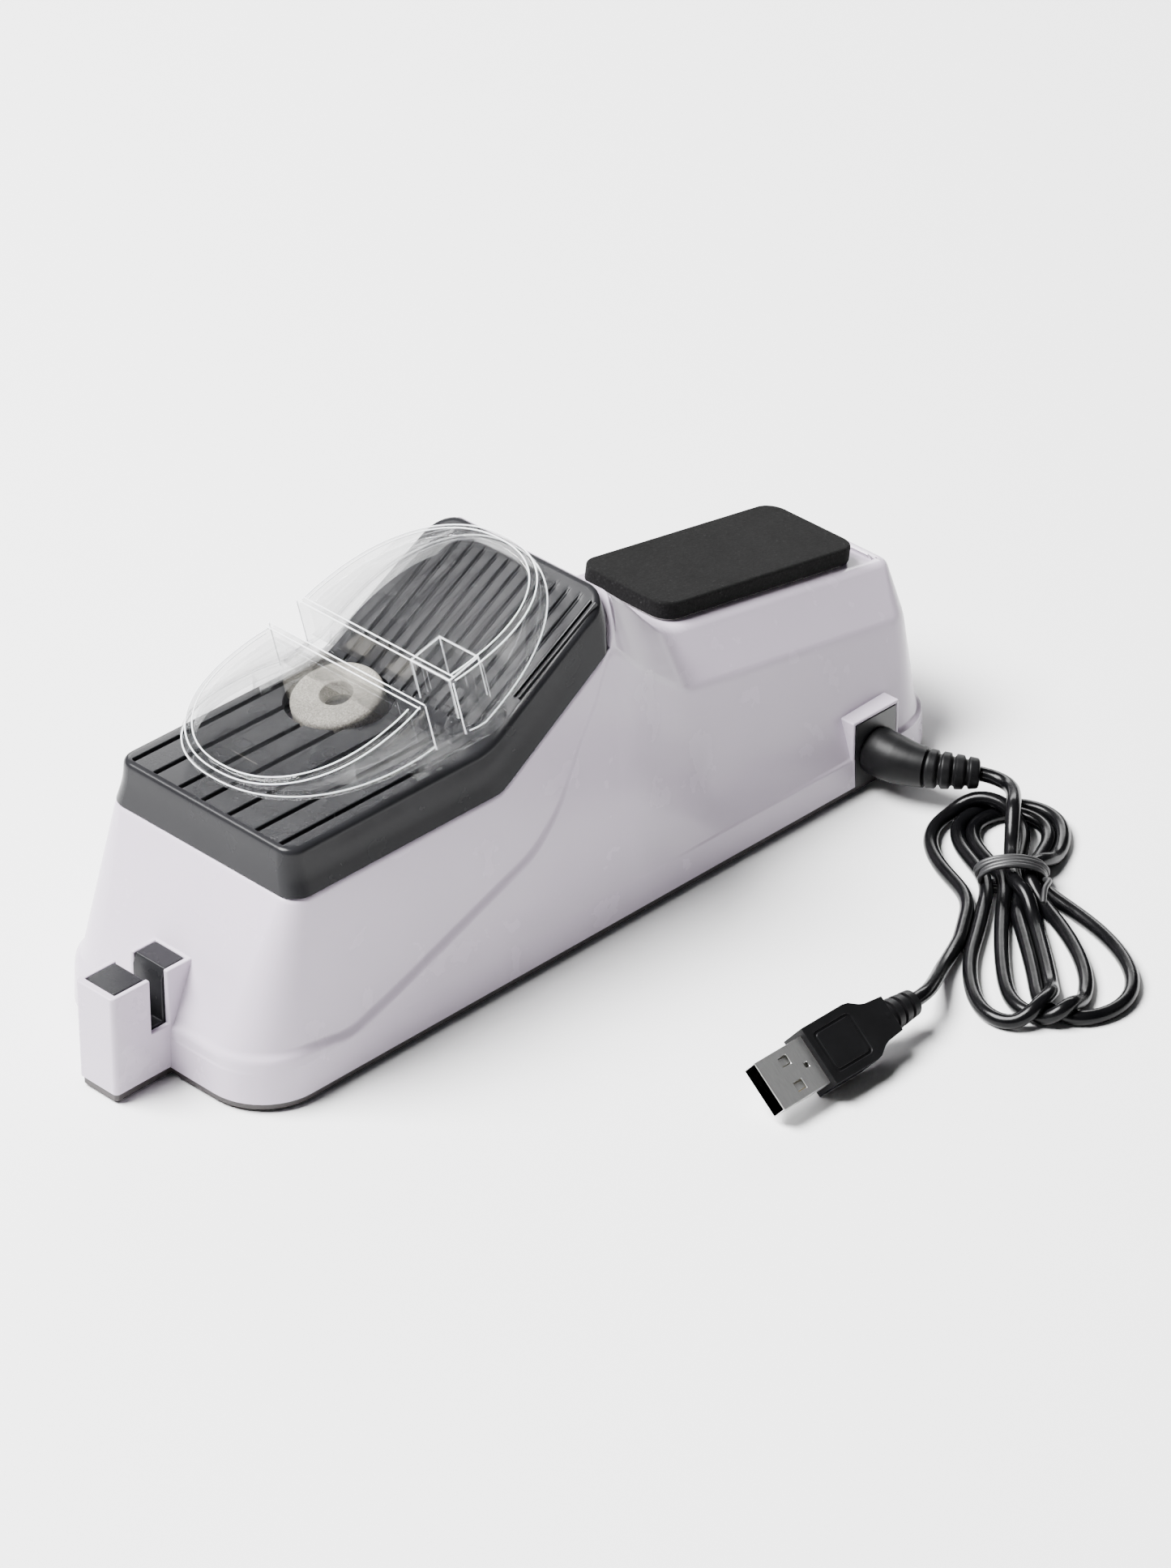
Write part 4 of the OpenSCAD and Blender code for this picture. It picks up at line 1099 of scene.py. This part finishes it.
def socket_block():
    obj = block("dc_socket_block", (85.4, -35, EDGE_Z), (98.9, -22, 19.1))
    bore = lathe("tool", [(0.001, -9.5), (2.8, -9.5), (2.8, 0), (3.4, 0.6), (3.4, 4), (0.001, 4)], 48)
    carve(obj, moved(bore, (92, -35.5, 10), 90, "X"))
    soften(obj, 0.3, 3, 40)
    finish_piece(obj, "black_plastic", "root", ["dc_socket"], 40)


def switch():
    """Bezel and rocker on the rear wall."""
    frame_obj = block("switch_bezel", (117.5, -10.5, 14.5), (119, 10.5, 29.5))
    soften(frame_obj, 0.8, 4, 50)
    combine(frame_obj, block("tool", (106, -9.5, 15.5), (118, 9.5, 28.5)), "UNION")
    carve(frame_obj, block("tool", (109, -8, 17), (125, 8, 27)))
    finish_piece(frame_obj, "black_plastic", "root", ["switch_frame"], 40)
    outline = [(-1.6, -3.4), (-1.6, 3.4), (3.0, 4.3), (3.45, 4.0), (2.5, 1.2), (2.2, 0), (2.5, -1.2), (3.45, -4.0),
               (3.0, -4.3)]
    rocker = prism("rocker_cap", outline, -7.7, 7.7)
    soften(rocker, 0.25, 3, 40)
    rocker.data.transform(Matrix.Translation(Vector((115, 0, 22)) * MM) @ Matrix.Rotation(math.radians(-8), 4, "Y")
                          @ Matrix.Rotation(math.radians(90), 4, "X"))
    finish_piece(rocker, "black_plastic", "rocker", ["switch_rocker"], 40)


housing_shell()
front_block()
socket_hood()
deck_shell()
deck_ridges()
clear_guard()
guard_edge_highlights()
wheel()
honing_pad()
front_insert()
base()
socket_block()
switch()

# Each CAD node takes the finish of its slot in the record, and a few get rounded edges
for name, obj in frame["nodes"].items():
    slot = next(part["material_slot"] for part in frame["record"]["subparts"] if part["node"] == name)
    obj.data.materials.clear()
    obj.data.materials.append(FINISH[slot])
    if name in ("motor_can", "circuit_board", "twist_tie", "usb_tongue", "motor_bracket", "wheel_hub"):
        bevel(obj, 0.2, 2)


# ---- Surroundings ----

def add_floor():
    mesh = bpy.data.meshes.new("floor")
    reach = 6
    mesh.from_pydata([(x, y, 0) for x, y in box_corners((-reach, -reach), (reach, reach))], [], [(0, 1, 2, 3)])
    floor = bpy.data.objects.new("floor", mesh)
    bpy.context.scene.collection.objects.link(floor)
    mesh.materials.append(mixed_finish("pale_floor", (3, 2), (0.82,) * 3, (0.83,) * 3,
                                       Roughness=0.9, Specular_IOR_Level=0.1))


def add_light(name, place, size, power):
    """Rectangular light that faces the middle of the housing."""
    data = bpy.data.lights.new(name, "AREA")
    data.shape = "RECTANGLE"
    data.size, data.size_y = size
    data.energy = power
    light = bpy.data.objects.new(name, data)
    light.location = place
    light.rotation_euler = (Vector(place) - Vector((0, 0, 0.04))).to_track_quat("Z", "Y").to_euler()
    bpy.context.scene.collection.objects.link(light)


def add_world(colour, strength):
    world = bpy.data.worlds.new("room")
    world.use_nodes = True
    inputs = world.node_tree.nodes["Background"].inputs
    inputs["Color"].default_value = (*colour, 1)
    inputs["Strength"].default_value = strength
    bpy.context.scene.world = world


add_floor()
add_world((0.93, 0.95, 1.0), 0.05)
add_light("overhead", (-0.85, 0.68, 1.8), (1.2, 1.1), 285)
add_light("back", (1.15, 1.15, 0.8), (1.5, 0.4), 26)
add_light("side", (-1.7, -0.1, 0.6), (0.8, 0.6), 0.6)
add_light("card", (1.1, -0.8, 1.2), (0.7, 0.7), 0.4)
